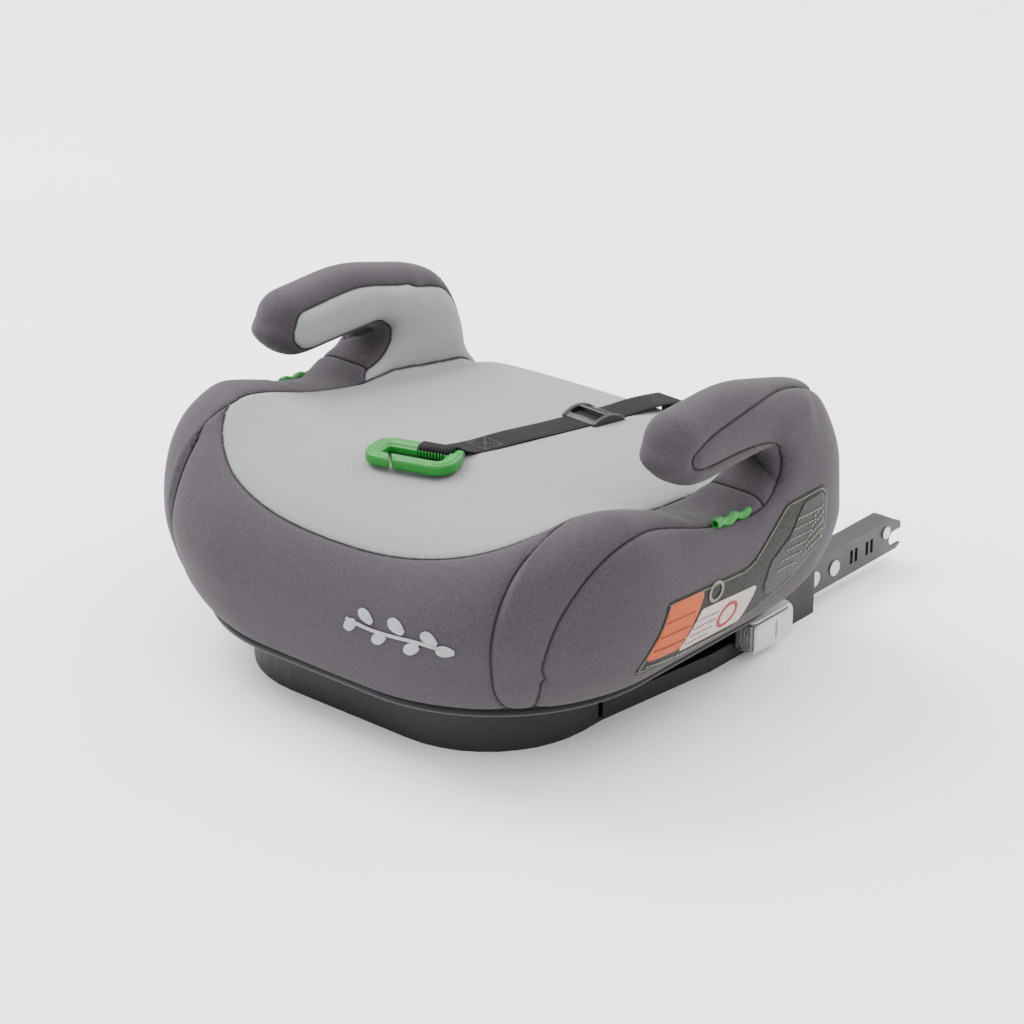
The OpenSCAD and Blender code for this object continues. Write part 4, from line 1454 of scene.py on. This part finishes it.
@dataclass
class BeltClip:
    """Green belt clip: a long flat ring with an inner toothed rail, a slit and a bar for the webbing."""

    frame: StrapFrame
    strap: BeltStrap
    length: float = 72.0
    width: float = 36.0
    height: float = 9.0
    shift: float = -14.0
    wall: float = 10.0
    back: float = 4.0
    bar: float = 3.9
    slit_x: float = -8.0
    slit_turn: float = 30.0
    slit_depth: float = 12.0
    tooth_pitch: float = 2.4
    low: tuple[float, float, float] = (-54, -36, -6)
    high: tuple[float, float, float] = (26, 8, 6)
    cell: float = 0.8

    def shape(self) -> Field:
        """The clip's field, in its own axes: the bar along X, the ring ahead of it."""
        half, thick, back = self.length / 2, self.height / 2, self.back
        front = back - self.width
        outer = rounded([(-half, front, 15), (half, front, 15), (half - 2, back, 13), (-half + 6, back, 13)])
        lean = math.radians(self.slit_turn)
        strap_half = self.strap.width / 2 + 1.2

        def read(x: Array, y: Array, z: Array) -> Array:
            """Distance from the clip."""
            u = x - self.shift
            edge = outline_distance(outer, u, y)
            ring = np.abs(edge + self.wall / 2) - self.wall / 2
            solid = smooth_max(ring, np.abs(z) - thick, 3.2)
            rail = smooth_max(np.abs(edge + self.wall + 0.6) - 1.0, np.abs(z) - thick + 2.2, 1.0)
            teeth = 0.35 * np.sin((u + y) * 2 * math.pi / self.tooth_pitch) * (np.abs(z) < 3)
            solid = smooth_min(solid, rail + teeth, 0.6)
            groove = np.abs(edge + 2.4) - 0.5 + 6 * (np.abs(z) < thick - 1.1)
            solid = smooth_max(solid, -groove, 0.4)
            slit = np.abs((u - self.slit_x) * math.cos(lean) + (y - front) * math.sin(lean)) - 0.9
            solid = smooth_max(solid, -np.maximum(slit, y - front - self.slit_depth), 0.8)
            room = np.maximum(np.abs(x) - strap_half, np.abs(y) - 6.6)
            solid = smooth_max(solid, -room, 1.2)
            bar = smooth_max(np.hypot(y, z) - self.bar, np.abs(x) - strap_half - 4, 1.0)
            return smooth_min(solid, bar, 0.8)

        return read

    def build(self, finish: Material) -> Piece:
        """Makes the clip where the strap's loop holds it."""
        bar_z = self.frame.height(self.strap.loop_y) + self.strap.loop_rise
        place = self.frame.matrix() @ Matrix.Translation((0, self.strap.loop_y, bar_z))
        place = place @ Matrix.Rotation(math.radians(self.strap.loop_turn), 4, "Z")
        return field_object("belt_clip_ring", self.shape(), self.low, self.high, self.cell, finish, place)


@dataclass
class StrapSlider:
    """Arched three-bar slider on the webbing."""

    frame: StrapFrame
    place_y: float = -85.0
    half_length: float = 17.0
    inner: float = 13.0
    flange: float = 3.4
    arch: float = 7.4
    low: tuple[float, float, float] = (-19, -20, -3)
    high: tuple[float, float, float] = (19, 20, 9)
    cell: float = 0.75

    def shape(self) -> Field:
        """The slider's field, in its own axes: Y along the webbing, Z up from its underside."""
        end, middle = self.half_length - 3.2, self.inner + self.flange / 2

        def read(x: Array, y: Array, z: Array) -> Array:
            """Distance from the slider."""
            crown = self.arch - 5.0 * (y / self.half_length) ** 2
            body = smooth_max(z - crown, -1.2 - z, 1.0)
            side = smooth_max(np.abs(np.abs(x) - middle) - self.flange / 2, np.abs(y) - self.half_length, 2.0)
            solid = smooth_max(side, body, 1.4)
            sheet = np.abs(z - crown + 1.9 + 0.05 * np.abs(x)) - 1.1
            for centre, half in ((-end, 2.7), (end, 2.7), (0, 2.3)):
                bar = smooth_max(np.abs(y - centre) - half, np.abs(x) - self.inner - 1, 1.2)
                lift = sheet if centre else np.abs(z - crown + 1.2) - 1.0
                solid = smooth_min(solid, smooth_max(bar, lift, 1.2), 1.0)
            return solid

        return read

    def build(self, finish: Material) -> Piece:
        """Makes the slider on the webbing."""
        rest = Vector((0, self.place_y, self.frame.height(self.place_y) + 0.2))
        lean = Matrix.Rotation(math.atan(self.frame.slope), 4, "X")
        place = self.frame.matrix() @ Matrix.Translation(rest) @ lean
        return field_object("strap_slider_body", self.shape(), self.low, self.high, self.cell, finish, place)


@dataclass
class BeltGuide:
    """Green wavy tube on the sill of a belt mouth, open at its front end."""

    x: float = 201.0
    start: tuple[float, float] = (-57.0, 152.0)
    end: tuple[float, float] = (6.0, 146.0)
    radius: tuple[float, float] = (3.5, 1.9)
    wave: float = 1.1
    sway: float = 0.8
    right_drop: float = 4.0
    pitch: float = 17.0
    cell: float = 0.8

    def shape(self) -> Field:
        """The tube's field, for the sitter's left."""
        (y0, z0), (y1, z1) = self.start, self.end

        def read(x: Array, y: Array, z: Array) -> Array:
            """Distance from the tube."""
            t = np.clip((y - y0) / (y1 - y0), 0, 1)
            turn = (y - y0) * 2 * math.pi / self.pitch
            lift = self.wave * np.sin(turn) * ease(t, 0, 0.15)
            sway = self.sway * np.cos(turn) * ease(t, 0, 0.2)
            r = self.radius[0] + (self.radius[1] - self.radius[0]) * t
            away = np.hypot(x - self.x - sway, (z - z0 - (z1 - z0) * t - lift) * 0.9) - r
            tube = smooth_max(away, np.maximum(y0 - y, y - y1), 1.4)
            hole = np.maximum(np.hypot(x - self.x, z - z0) - self.radius[0] + 1.5, y - y0 - 7)
            return smooth_max(tube, -hole, 0.6)

        return read

    def build(self, hand: int, finish: Material) -> Piece:
        """Makes the guide of one side."""
        name = "belt_guide_tube_" + HAND_NAME[hand]
        low = (self.x - 8, self.start[0] - 3, 138)
        high = (self.x + 8, self.end[0] + 3, 162)
        drop = self.right_drop if hand == RIGHT else 0
        place = Matrix.Translation((0, 0, -drop)) @ mirror_hand(hand)
        return field_object(name, self.shape(), low, high, self.cell, finish, place)


@dataclass
class HandleBlock:
    """Grey handle outboard of the rail: a rounded housing with a ribbed release button at its front."""

    inner: float = 153.1
    outer: float = 170.6
    front: float = 36.0
    back: float = 84.0
    low: float = 6.4
    high: float = 32.4
    wall: float = 2.2
    neck: tuple = ((145.6, 44.0, 15.5), (155.0, 58.0, 23.5))
    gap: float = 0.35
    button_out: float = 3.4
    button_depth: float = 14.0
    ribs: int = 3
    rib_pitch: float = 2.6
    cell: float = 0.75
    button_cell: float = 0.6

    def housing(self) -> Field:
        """The housing's field, for the sitter's left."""
        skin = round_box((self.inner - 4, self.front, self.low), (self.outer, self.back, self.high), 4.2)
        cavity = round_box((self.inner + self.wall, self.front - 20, self.low + self.wall),
                           (self.outer - self.wall, self.back - 4, self.high - self.wall), 2.2)
        neck = round_box(*self.neck, 0.6)
        slit = round_box((self.outer - self.wall - 1.5, 60.8, 12.2), (self.outer + 3, 62.8, 25.8), 0.8)
        window = round_box((self.inner - 6, self.neck[1][1] + 1, self.neck[0][2]),
                           (self.inner + self.wall + 2, 76, self.neck[1][2]), 0.8)

        def read(x: Array, y: Array, z: Array) -> Array:
            """Distance from the housing."""
            bevel = (x - self.outer + 4.6 + (z - self.high) * 0.9) * 0.74
            heel = (y - self.back + (self.low + 7 - z) * 0.8) * 0.78
            case = skin(x, y, z)
            solid = smooth_max(smooth_max(smooth_max(case, bevel, 1.6), heel, 2.0), self.inner - x, 0.8)
            groove = np.maximum(np.abs(y - self.front - 5.2) - 0.45, -(case + 0.7))
            solid = smooth_max(solid, -groove, 0.5)
            solid = smooth_min(solid, neck(x, y, z), 0.8)
            for hollow in (cavity, slit, window):
                solid = smooth_max(solid, -hollow(x, y, z), 0.7)
            return solid

        return read

    def button(self) -> Field:
        """The button's field, for the sitter's left: bowed face, curved ribs and two key holes."""
        inset = self.wall + self.gap
        x0, x1 = self.inner + inset, self.outer - inset
        z0, z1 = self.low + inset, self.high - inset
        face, middle = self.front - self.button_out, (z0 + z1) / 2
        body = round_box((x0, face, z0), (x1, self.front + self.button_depth, z1), 1.8)
        holes = [round_box((x0 + 1.3, face - 2, z - 0.9), (x0 + 4.3, face + 3, z + 0.9), 0.4)
                 for z in (z0 + 2.2, z1 - 2.2)]
        spring_seat = ((x0 + 1.0, self.front - 0.6, 9.2), (x0 + 7.4, self.front + 18, 15.6))
        holes.append(round_box(*spring_seat, 1.2))

        def read(x: Array, y: Array, z: Array) -> Array:
            """Distance from the button."""
            bow = face + 0.0105 * (z - middle) ** 2 + 0.012 * (x - x0 - 4) ** 2
            solid = smooth_max(body(x, y, z), bow - y, 0.8)
            for k in range(self.ribs):
                line = x0 + 5.4 + self.rib_pitch * k + 0.012 * (z - middle) ** 2
                ends = np.maximum(np.abs(z - middle) - 7.4 + k, y - bow - 0.8)
                solid = smooth_max(solid, -np.maximum(np.abs(x - line) - 0.55, ends), 0.5)
            for hole in holes:
                solid = smooth_max(solid, -hole(x, y, z), 0.4)
            return solid

        return read

    def build(self, hand: int, shell: Material, press: Material) -> tuple[Piece, ...]:
        """Makes the housing and the button of one side."""
        side, place = HAND_NAME[hand], mirror_hand(hand)
        low = (self.neck[0][0] - 2, self.front - 6, self.low - 2)
        high = (self.outer + 2, self.back + 2, self.high + 2)
        housing = field_object("handle_shell_" + side, self.housing(), low, high, self.cell, shell, place)
        high = (high[0], self.front + 18, high[2])
        button = field_object("release_pad_" + side, self.button(), low, high, self.button_cell, press, place)
        return housing, button


# ---- Print, badge and edge roll ----------------------------------------------------------


class Skin:
    """Finds the finished cover under a point, along one axis."""

    def __init__(self, pieces: Sequence[Piece]) -> None:
        """Reads the pieces that print and thread lie on."""
        self.trees = []
        for piece in pieces:
            faces = [tuple(f.vertices) for f in piece.data.polygons]
            self.trees.append(BVHTree.FromPolygons([tuple(p) for p in coordinates(piece)], faces))

    def drop(self, start: Sequence[float], way: Sequence[float]) -> tuple[Vector, Vector]:
        """Where a line from start meets the cover first, and the cover's direction there."""
        hits = [tree.ray_cast(Vector(start), Vector(way)) for tree in self.trees]
        hits = [h for h in hits if h[0] is not None]
        if not hits:
            return Vector(start), -Vector(way)
        found = min(hits, key=lambda h: h[3])
        return found[0], found[1]

    def lay(self, start: Sequence[float], way: Sequence[float], lift: float) -> tuple[float, ...]:
        """The place that stands off the cover by lift, where a line from start meets it."""
        place, normal = self.drop(start, way)
        return tuple(place + normal * lift)


@dataclass(frozen=True)
class Print:
    """One flat colour of the side label."""

    name: str
    finish: str
    outline: tuple
    lift: float


@dataclass(frozen=True)
class BarRows:
    """A stack of print bars: the first one's two ends as y, z, y, z, and the step to each next one."""

    first: tuple[float, float, float, float]
    step: tuple[float, float, float, float]
    count: int

    def bars(self) -> list[tuple[float, ...]]:
        """The ends of every bar."""
        return [tuple(a + b * k for a, b in zip(self.first, self.step)) for k in range(self.count)]


@dataclass
class SideLabel:
    """Film label on the outer wall: a rounded film with plain blocks, rings and print bars."""

    lift: float = 0.35
    thickness: float = 0.3
    start_x: float = 260.0
    film: tuple = ((-139, 67, 5), (-119, 120, 5), (-30, 115, 30), (12, 147, 16), (60, 147, 10),
                   (61, 106, 26), (22, 82, 30), (-36, 62, 30))
    border: tuple = ((-136, 70, 4), (-117, 117.5, 4), (-30, 112.5, 29), (12.5, 144.5, 15),
                     (57.5, 144.5, 8), (58.5, 107, 25), (21, 84.5, 30), (-35.5, 64.5, 29))
    prints: tuple = (
        Print("label_block", "orange", ((-133, 78, 4), (-117, 118, 4), (-80, 116, 4), (-95, 74, 4)), 0.7),
        Print("label_card", "white", ((-81, 101, 3), (-19, 97, 3), (-27, 69, 3), (-96, 71, 3)), 0.7),
        Print("label_lobe", "lobe", ((-8, 109, 12), (15, 122, 14), (31, 142, 10), (56, 143, 7), (57, 108, 22),
                                     (27, 89, 22), (-13, 76, 12)), 0.65),
    )
    rings: tuple = (("label_mark", "grey", -68, 110, 8.0, 5.6), ("label_stop", "red", -48, 84, 10.5, 7.8))
    dark_bars: tuple = (BarRows((-126, 85, -95, 82), (3.2, 10, 2.2, 10.4), 3),
                        BarRows((-89, 76, -66, 75.2), (1.6, 5.6, 1.6, 5.5), 4))
    pale_bars: tuple = (BarRows((4, 99, 24, 98), (4, 6.5, 5, 6.5), 6),
                        BarRows((32, 101, 52, 108), (3, 6.5, 0.5, 6), 5),
                        BarRows((-128, 73, -100, 69), (36, -6, 60, -4), 2))
    ring_lift: float = 1.0
    bar_lift: float = 1.1

    def on(self, skin: Skin, y: float, z: float, lift: float) -> tuple[float, ...]:
        """The place at y and z that stands off the outer wall by lift."""
        return skin.lay((self.start_x, y, z), (-1, 0, 0), lift)

    def patch(self, skin: Skin, name: str, rule: Callable[[Array, Array], Array], box: Sequence[float],
              lift: float, finish: Material, cell: float = 2.0) -> Piece:
        """Lays one flat shape on the cover.

        Args:
            skin: The cover.
            name: The piece's name.
            rule: The shape's field over (y, z), negative inside.
            box: Lowest and highest y and z.
            lift: How far it stands off, in millimetres.
            finish: Its material.
            cell: Size of its faces.

        Returns:
            The piece.
        """
        ys, zs = (np.arange(a - 3, b + 3, cell) for a, b in (box[:2], box[2:]))
        grid = np.array([(0.0, y, z) for y in ys for z in zs])
        n = len(zs)
        faces = [(i * n + j, (i + 1) * n + j, (i + 1) * n + j + 1, i * n + j + 1)
                 for i in range(len(ys) - 1) for j in range(n - 1)]
        sheet = Cutting(grid, np.array(faces), lambda x, y, z: x, cell)
        kept, _ = sheet.split(sheet.faces, lambda p, s: rule(p[:, 1], p[:, 2]))
        used = points_of(kept)
        points = [self.on(skin, y, z, lift) for _, y, z in sheet.points[used]]
        piece = make_object(name, np.array(points), renumber(kept, used), finish)
        return thicken(piece, self.thickness)

    def build(self, skin: Skin, inks: dict[str, Material]) -> list[Piece]:
        """Makes the film and everything printed on it."""
        outline = rounded(self.film)
        made = [self.patch(skin, "label_film", lambda y, z: outline_distance(outline, y, z),
                           (-142, 66, 58, 150), self.lift, inks["film"])]
        line = [self.on(skin, y, z, self.lift + 0.1) for y, z in spline(rounded(self.border), 3, closed=True)]
        made.append(SatinThread("label_border", 0.4).build([line + line[:1]], inks["grey"]))
        for item in self.prints:
            edge = rounded(item.outline)
            (y0, z0), (y1, z1) = edge.min(axis=0), edge.max(axis=0)
            made.append(self.patch(skin, item.name, lambda y, z, e=edge: outline_distance(e, y, z),
                                   (y0, y1, z0, z1), item.lift, inks[item.finish]))
        for name, ink, y0, z0, outer, inner in self.rings:

            def ring(y: Array, z: Array, at: tuple = (y0, z0), r: tuple = (outer, inner)) -> Array:
                """Distance from the ring."""
                away = np.hypot(y - at[0], z - at[1])
                return np.maximum(away - r[0], r[1] - away)

            box = (y0 - outer, y0 + outer, z0 - outer, z0 + outer)
            made.append(self.patch(skin, name, ring, box, self.ring_lift, inks[ink], 0.7))
        stacks = (("label_bars", self.dark_bars, "print"), ("label_lines", self.pale_bars, "pale"))
        for name, rows, ink in stacks:
            curves = [[self.on(skin, y0 + t * (y1 - y0), z0 + t * (z1 - z0), self.bar_lift)
                       for t in np.linspace(0, 1, 12)]
                      for stack in rows for y0, z0, y1, z1 in stack.bars()]
            made.append(StitchRow(name, pitch=3.1, length=2.4, thread=0.4, seed=11).build(curves, inks[ink]))
        return made


@dataclass
class StitchedBadge:
    """Satin-stitched sprig on the front: a curved stem with leaves of parallel threads."""

    middle: tuple[float, float] = (80.5, 100.0)
    pitch: float = 0.62
    thread: float = 0.36
    off: float = 0.2
    stem: float = 44.0
    leaves: tuple = ((-40, -3, 12, 7, 35), (-27, 6, 14, 7, -25), (-14, -5, 14, 7, 30), (0, 7, 15, 8, -20),
                     (14, -4, 14, 7, 28), (27, 6, 13, 7, -22), (39, 0, 13, 7, 5))

    def build(self, skin: Skin, thread: Material) -> Piece:
        """Stitches the sprig onto the front of the cover."""
        lines = []
        for u0, v0, length, width, turn in self.leaves:
            c, s = math.cos(math.radians(turn)), math.sin(math.radians(turn))
            for t in np.arange(-0.96, 0.97, 2 * self.pitch / length):
                half = width / 2 * math.sqrt(max(0.0, 1 - t * t)) * (1 - 0.25 * t) + 0.3
                line = []
                for k in np.linspace(-1, 1, 5):
                    a, b = t * length / 2 + 0.16 * k * half, k * half
                    line.append((u0 + a * c - b * s, v0 + a * s + b * c, 0.5 + 0.9 * (1 - k * k)))
                lines.append(line)
        for t in np.arange(-self.stem, self.stem, self.pitch):
            v = 1.5 * math.sin(t / 14)
            lines.append([(t - 0.4, v - 1.1, 0.4), (t, v, 1.0), (t + 0.4, v + 1.1, 0.4)])
        x0, z0 = self.middle
        curves = [[skin.lay((x0 + u, -330, z0 + v), (0, 1, 0), lift + self.off) for u, v, lift in line]
                  for line in lines]
        return SatinThread("front_badge", self.thread).build(curves, thread)


@dataclass
class HemRoll:
    """Piped edge that closes the cover's hem against the base."""

    z: float = 44.6
    inset: float = 2.4
    radius: float = 2.6
    steps: int = 400
    sides: int = 10
    middle_y: float = -55.0
    nearest: float = 60.0
    furthest: float = 330.0

    def build(self, shape: CoverShape, fabric: Material) -> Piece:
        """Makes the roll round the whole seat."""
        turn = np.linspace(0, 2 * math.pi, self.steps, endpoint=False)
        low, high = np.full(self.steps, self.nearest), np.full(self.steps, self.furthest)
        z = np.full(self.steps, self.z)
        for _ in range(30):
            mid = (low + high) / 2
            wall = shape.plan(mid * np.cos(turn), self.middle_y + mid * np.sin(turn), z + 1)
            low, high = np.where(wall < -self.inset, mid, low), np.where(wall < -self.inset, high, mid)
        line = np.stack([low * np.cos(turn), self.middle_y + low * np.sin(turn), z], 1)
        step = np.roll(line, -1, axis=0) - np.roll(line, 1, axis=0)
        out = np.stack([step[:, 1], -step[:, 0], 0 * turn], 1) / np.linalg.norm(step, axis=1, keepdims=True)
        n, m, up = self.steps, self.sides, np.array([0, 0, 1])
        points = [p + self.radius * (math.cos(a) * o + math.sin(a) * up) for p, o in zip(line, out)
                  for a in np.linspace(0, 2 * math.pi, m, endpoint=False)]
        faces = [(i * m + j, (i + 1) % n * m + j, (i + 1) % n * m + (j + 1) % m, i * m + (j + 1) % m)
                 for i in range(n) for j in range(m)]
        return outward(make_object("hem_roll", np.array(points), faces, fabric))


# ---- Studio ------------------------------------------------------------------------------


@dataclass
class Studio:
    """Pale floor, soft lights and the camera; lights are placed in metres."""

    azimuth: float = 40.261
    elevation: float = 24.498
    eye: tuple[float, float, float] = (1435.146, -1724.332, 1104.545)
    lens: float = 119.59
    sensor: float = 36.0
    floor_size: float = 6000.0
    key_power: float = 95.0
    horizon: float = 0.3
    zenith: float = 3.3
    look_at: tuple[float, float, float] = (0.0, 0.0, 0.12)
    lamps: tuple = (("key", (-1.7, -0.1, 2.1), 1.6, 1.0), ("fill", (2.2, -1.6, 1.0), 1.8, 0.05),
                    ("back", (0.6, 2.2, 1.4), 1.4, 0.35))

    def camera(self) -> None:
        """Places the camera."""
        a, e = math.radians(self.azimuth), math.radians(self.elevation)
        back = Vector((math.sin(a) * math.cos(e), -math.cos(a) * math.cos(e), math.sin(e)))
        data = bpy.data.cameras.new("camera")
        data.lens, data.sensor_width = self.lens, self.sensor
        data.clip_start, data.clip_end = 0.05, 50.0
        view = bpy.data.objects.new("camera", data)
        view.location = Vector(self.eye) * MM
        view.rotation_mode = "QUATERNION"
        view.rotation_quaternion = (-back).to_track_quat("-Z", "Y")
        bpy.context.scene.collection.objects.link(view)
        bpy.context.scene.camera = view

    def floor(self) -> None:
        """Lays a plain white floor."""
        half = self.floor_size / 2
        n = Nodes("studio_floor")
        tone = n.mix(n.ramp(n.noise(3, 2), 0.3, 0.7), (0.93, 0.93, 0.93, 1), (0.97, 0.97, 0.97, 1))
        corners = [(-half, -half, 0), (half, -half, 0), (half, half, 0), (-half, half, 0)]
        finish = n.finish({"Base Color": tone, "Roughness": 0.85})
        make_object("studio_floor", np.array(corners), [(0, 1, 2, 3)], finish)

    def light(self, name: str, place: Sequence[float], size: float, power: float) -> None:
        """Hangs a soft square light that looks at the seat.

        Args:
            name: Its name.
            place: Where it hangs, in metres.
            size: Its side, in metres.
            power: Its power in watts.
        """
        data = bpy.data.lights.new(name, "AREA")
        data.size, data.energy = size, power
        lamp = bpy.data.objects.new(name, data)
        lamp.location = place
        lamp.rotation_mode = "QUATERNION"
        lamp.rotation_quaternion = (Vector(self.look_at) - Vector(place)).to_track_quat("-Z", "Y")
        bpy.context.scene.collection.objects.link(lamp)

    def build(self) -> None:
        """Sets up the camera, the floor, the sky and the lights."""
        self.camera()
        self.floor()
        world = bpy.data.worlds.new("studio_sky")
        world.use_nodes = True
        tree = world.node_tree
        place, split = tree.nodes.new("ShaderNodeTexCoord"), tree.nodes.new("ShaderNodeSeparateXYZ")
        fade = tree.nodes.new("ShaderNodeMapRange")
        tree.links.new(place.outputs["Generated"], split.inputs[0])
        tree.links.new(split.outputs["Z"], fade.inputs["Value"])
        fade.inputs["To Min"].default_value = self.horizon
        fade.inputs["To Max"].default_value = self.zenith
        tree.links.new(fade.outputs["Result"], tree.nodes["Background"].inputs["Strength"])
        tree.nodes["Background"].inputs["Color"].default_value = (1, 1, 1, 1)
        bpy.context.scene.world = world
        for name, hang, size, share in self.lamps:
            self.light(name, hang, size, self.key_power * share)


# ---- Assembly ----------------------------------------------------------------------------


@dataclass
class Wardrobe:
    """Every finish of the seat, by the record's slot names or by use."""

    made: dict[str, Material] = field(init=False)

    def __post_init__(self) -> None:
        """Builds the materials."""
        kinds = {
            "black_base_plastic": MouldedPlastic("base_plastic", rgb(10, 10, 12), 0.52, 0.05, 0.8),
            "guide_plastic": MouldedPlastic("rail_plastic", rgb(24, 24, 27), 0.45),
            "pad_rubber": MouldedPlastic("pad_rubber", rgb(28, 28, 30), 0.75, 0.15),
            "zinc_steel": Metal("zinc_steel", rgb(190, 192, 196), 0.32),
            "shell_plastic": MouldedPlastic("shell_plastic", rgb(64, 66, 70), 0.5),
            "foam": Foam("seat_foam_cells", rgb(214, 206, 178)),
            "hem_fabric": KnitFabric("hem_knit", rgb(26, 25, 28), 0.1),
            "light_fabric": KnitFabric("light_knit", rgb(130, 131, 131), 0.1, 0.05),
            "inner_fabric": KnitFabric("inner_knit", rgb(138, 139, 139), 0.1, 0.05),
            "dark_fabric": KnitFabric("dark_knit", rgb(60, 55, 60), 0.36, 0.08),
            "green_plastic": MouldedPlastic("green_plastic", rgb(8, 118, 28), 0.42, 0.03, 0.4),
            "slider_plastic": MouldedPlastic("slider_plastic", rgb(12, 12, 14), 0.45),
            "coated_steel": CoatedSteel("coated_steel", rgb(28, 28, 31)),
            "tube_steel": Metal("tube_steel", rgb(170, 172, 176), 0.3, (8.0, 1.0, 1.0)),
            "grey_plastic": MouldedPlastic("handle_plastic", rgb(188, 188, 184), 0.45, 0.04, 0.4),
            "button_plastic": MouldedPlastic("button_plastic", rgb(98, 98, 100), 0.45, 0.05),
            "flag_green": MouldedPlastic("flag_plastic", rgb(140, 52, 44), 0.4),
            "webbing": WovenStrap("webbing", rgb(18, 18, 20)),
            "silver_thread": SilkThread("silver_thread", rgb(160, 161, 166)),
            "strap_thread": SilkThread("strap_thread", rgb(44, 44, 48)),
            "film": PrintedFilm("label_film", rgb(20, 21, 15), 0.5),
            "orange": PrintedFilm("orange_ink", rgb(166, 66, 0)),
            "white": PrintedFilm("white_ink", rgb(176, 160, 156)),
            "grey": PrintedFilm("grey_ink", rgb(104, 104, 94)),
            "lobe": PrintedFilm("lobe_ink", rgb(30, 31, 25)),
            "red": PrintedFilm("red_ink", rgb(140, 30, 24)),
            "print": PrintedFilm("fine_ink", rgb(60, 44, 38)),
            "pale": PrintedFilm("pale_ink", rgb(150, 150, 140)),
        }
        self.made = {key: kind.material() for key, kind in kinds.items()}

    def dress(self, frame: dict) -> None:
        """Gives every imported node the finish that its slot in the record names."""
        for name, node in frame["nodes"].items():
            slots = [slot.name for slot in node.data.materials if slot] or [""]
            for i, slot in enumerate(slots):
                key = next((k for k in self.made if slot.startswith(k)), None)
                if key is None:
                    LOG.warning("%s has the slot %s, which has no finish", name, slot)
                elif node.data.materials:
                    node.data.materials[i] = self.made[key]


def put(piece: Piece, body: str, slot: str, *nodes: str) -> Piece:
    """Lets a piece ride a body and hides the nodes it stands for."""
    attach(piece, body)
    if nodes:
        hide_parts(*nodes)
    LOG.info("%s: %d faces, rides %s", piece.name, len(piece.data.polygons), body)
    return piece


def build_cover(wardrobe: Wardrobe) -> dict[tuple[Panel, int], Piece]:
    """Makes the padded cover and its hem roll, in place of the plain soft nodes."""
    slots = {panel: "dark_fabric" for panel in Panel}
    slots |= {Panel.INSERT: "light_fabric", Panel.INNER: "inner_fabric"}
    stands_for = {Panel.INSERT: "seat_panel", Panel.FRONT: "front_panel", Panel.REAR: "rear_panel",
                  Panel.BAND: "side_band", Panel.SIDE: "side_panel", Panel.RIM: "armrest_band",
                  Panel.INNER: "armrest_inner"}
    cover = PaddedCover()
    pieces = cover.build({panel: wardrobe.made[slot] for panel, slot in slots.items()})
    for (panel, hand), piece in pieces.items():
        put(piece, "seat", slots[panel], stands_for[panel] + SIDE_ENDING[hand])
    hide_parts("seat_foam")
    roll = put(HemRoll().build(cover.shape, wardrobe.made["hem_fabric"]), "seat", "hem_fabric", "hem_binding")
    return pieces


def main() -> None:
    """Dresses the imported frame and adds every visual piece."""
    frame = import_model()
    Studio().build()
    wardrobe = Wardrobe()
    wardrobe.dress(frame)
    made = wardrobe.made
    pieces = build_cover(wardrobe)
    side = Skin([pieces[Panel.SIDE, LEFT], pieces[Panel.BAND, LEFT], pieces[Panel.RIM, LEFT]])
    for k, piece in enumerate(SideLabel().build(side, made)):
        put(piece, "seat", "label_film", *(["side_label"] if k == 0 else []))
    badge = StitchedBadge().build(Skin([pieces[Panel.FRONT, 0]]), made["silver_thread"])
    put(badge, "seat", "silver_thread", "front_emblem")
    lie = StrapFrame()
    belt = BeltStrap(lie)
    strap, stitches = belt.build(made["webbing"], made["strap_thread"])
    put(strap, "seat", "webbing", "belt_strap")
    put(stitches, "seat", "webbing")
    put(BeltClip(lie, belt).build(made["green_plastic"]), "clip", "green_plastic", "belt_clip")
    put(StrapSlider(lie).build(made["slider_plastic"]), "slider", "slider_plastic", "strap_slider")
    for hand, name in HAND_NAME.items():
        put(BeltGuide().build(hand, made["green_plastic"]), "seat", "green_plastic", "belt_guide_" + name)
        housing, button = HandleBlock().build(hand, made["grey_plastic"], made["button_plastic"])
        put(housing, "carriage", "grey_plastic", "handle_housing_" + name)
        put(button, "release_" + name, "button_plastic", "release_button_" + name)


if __name__ == "__main__":
    logging.basicConfig(level=logging.INFO, format="%(name)s: %(message)s")
    main()
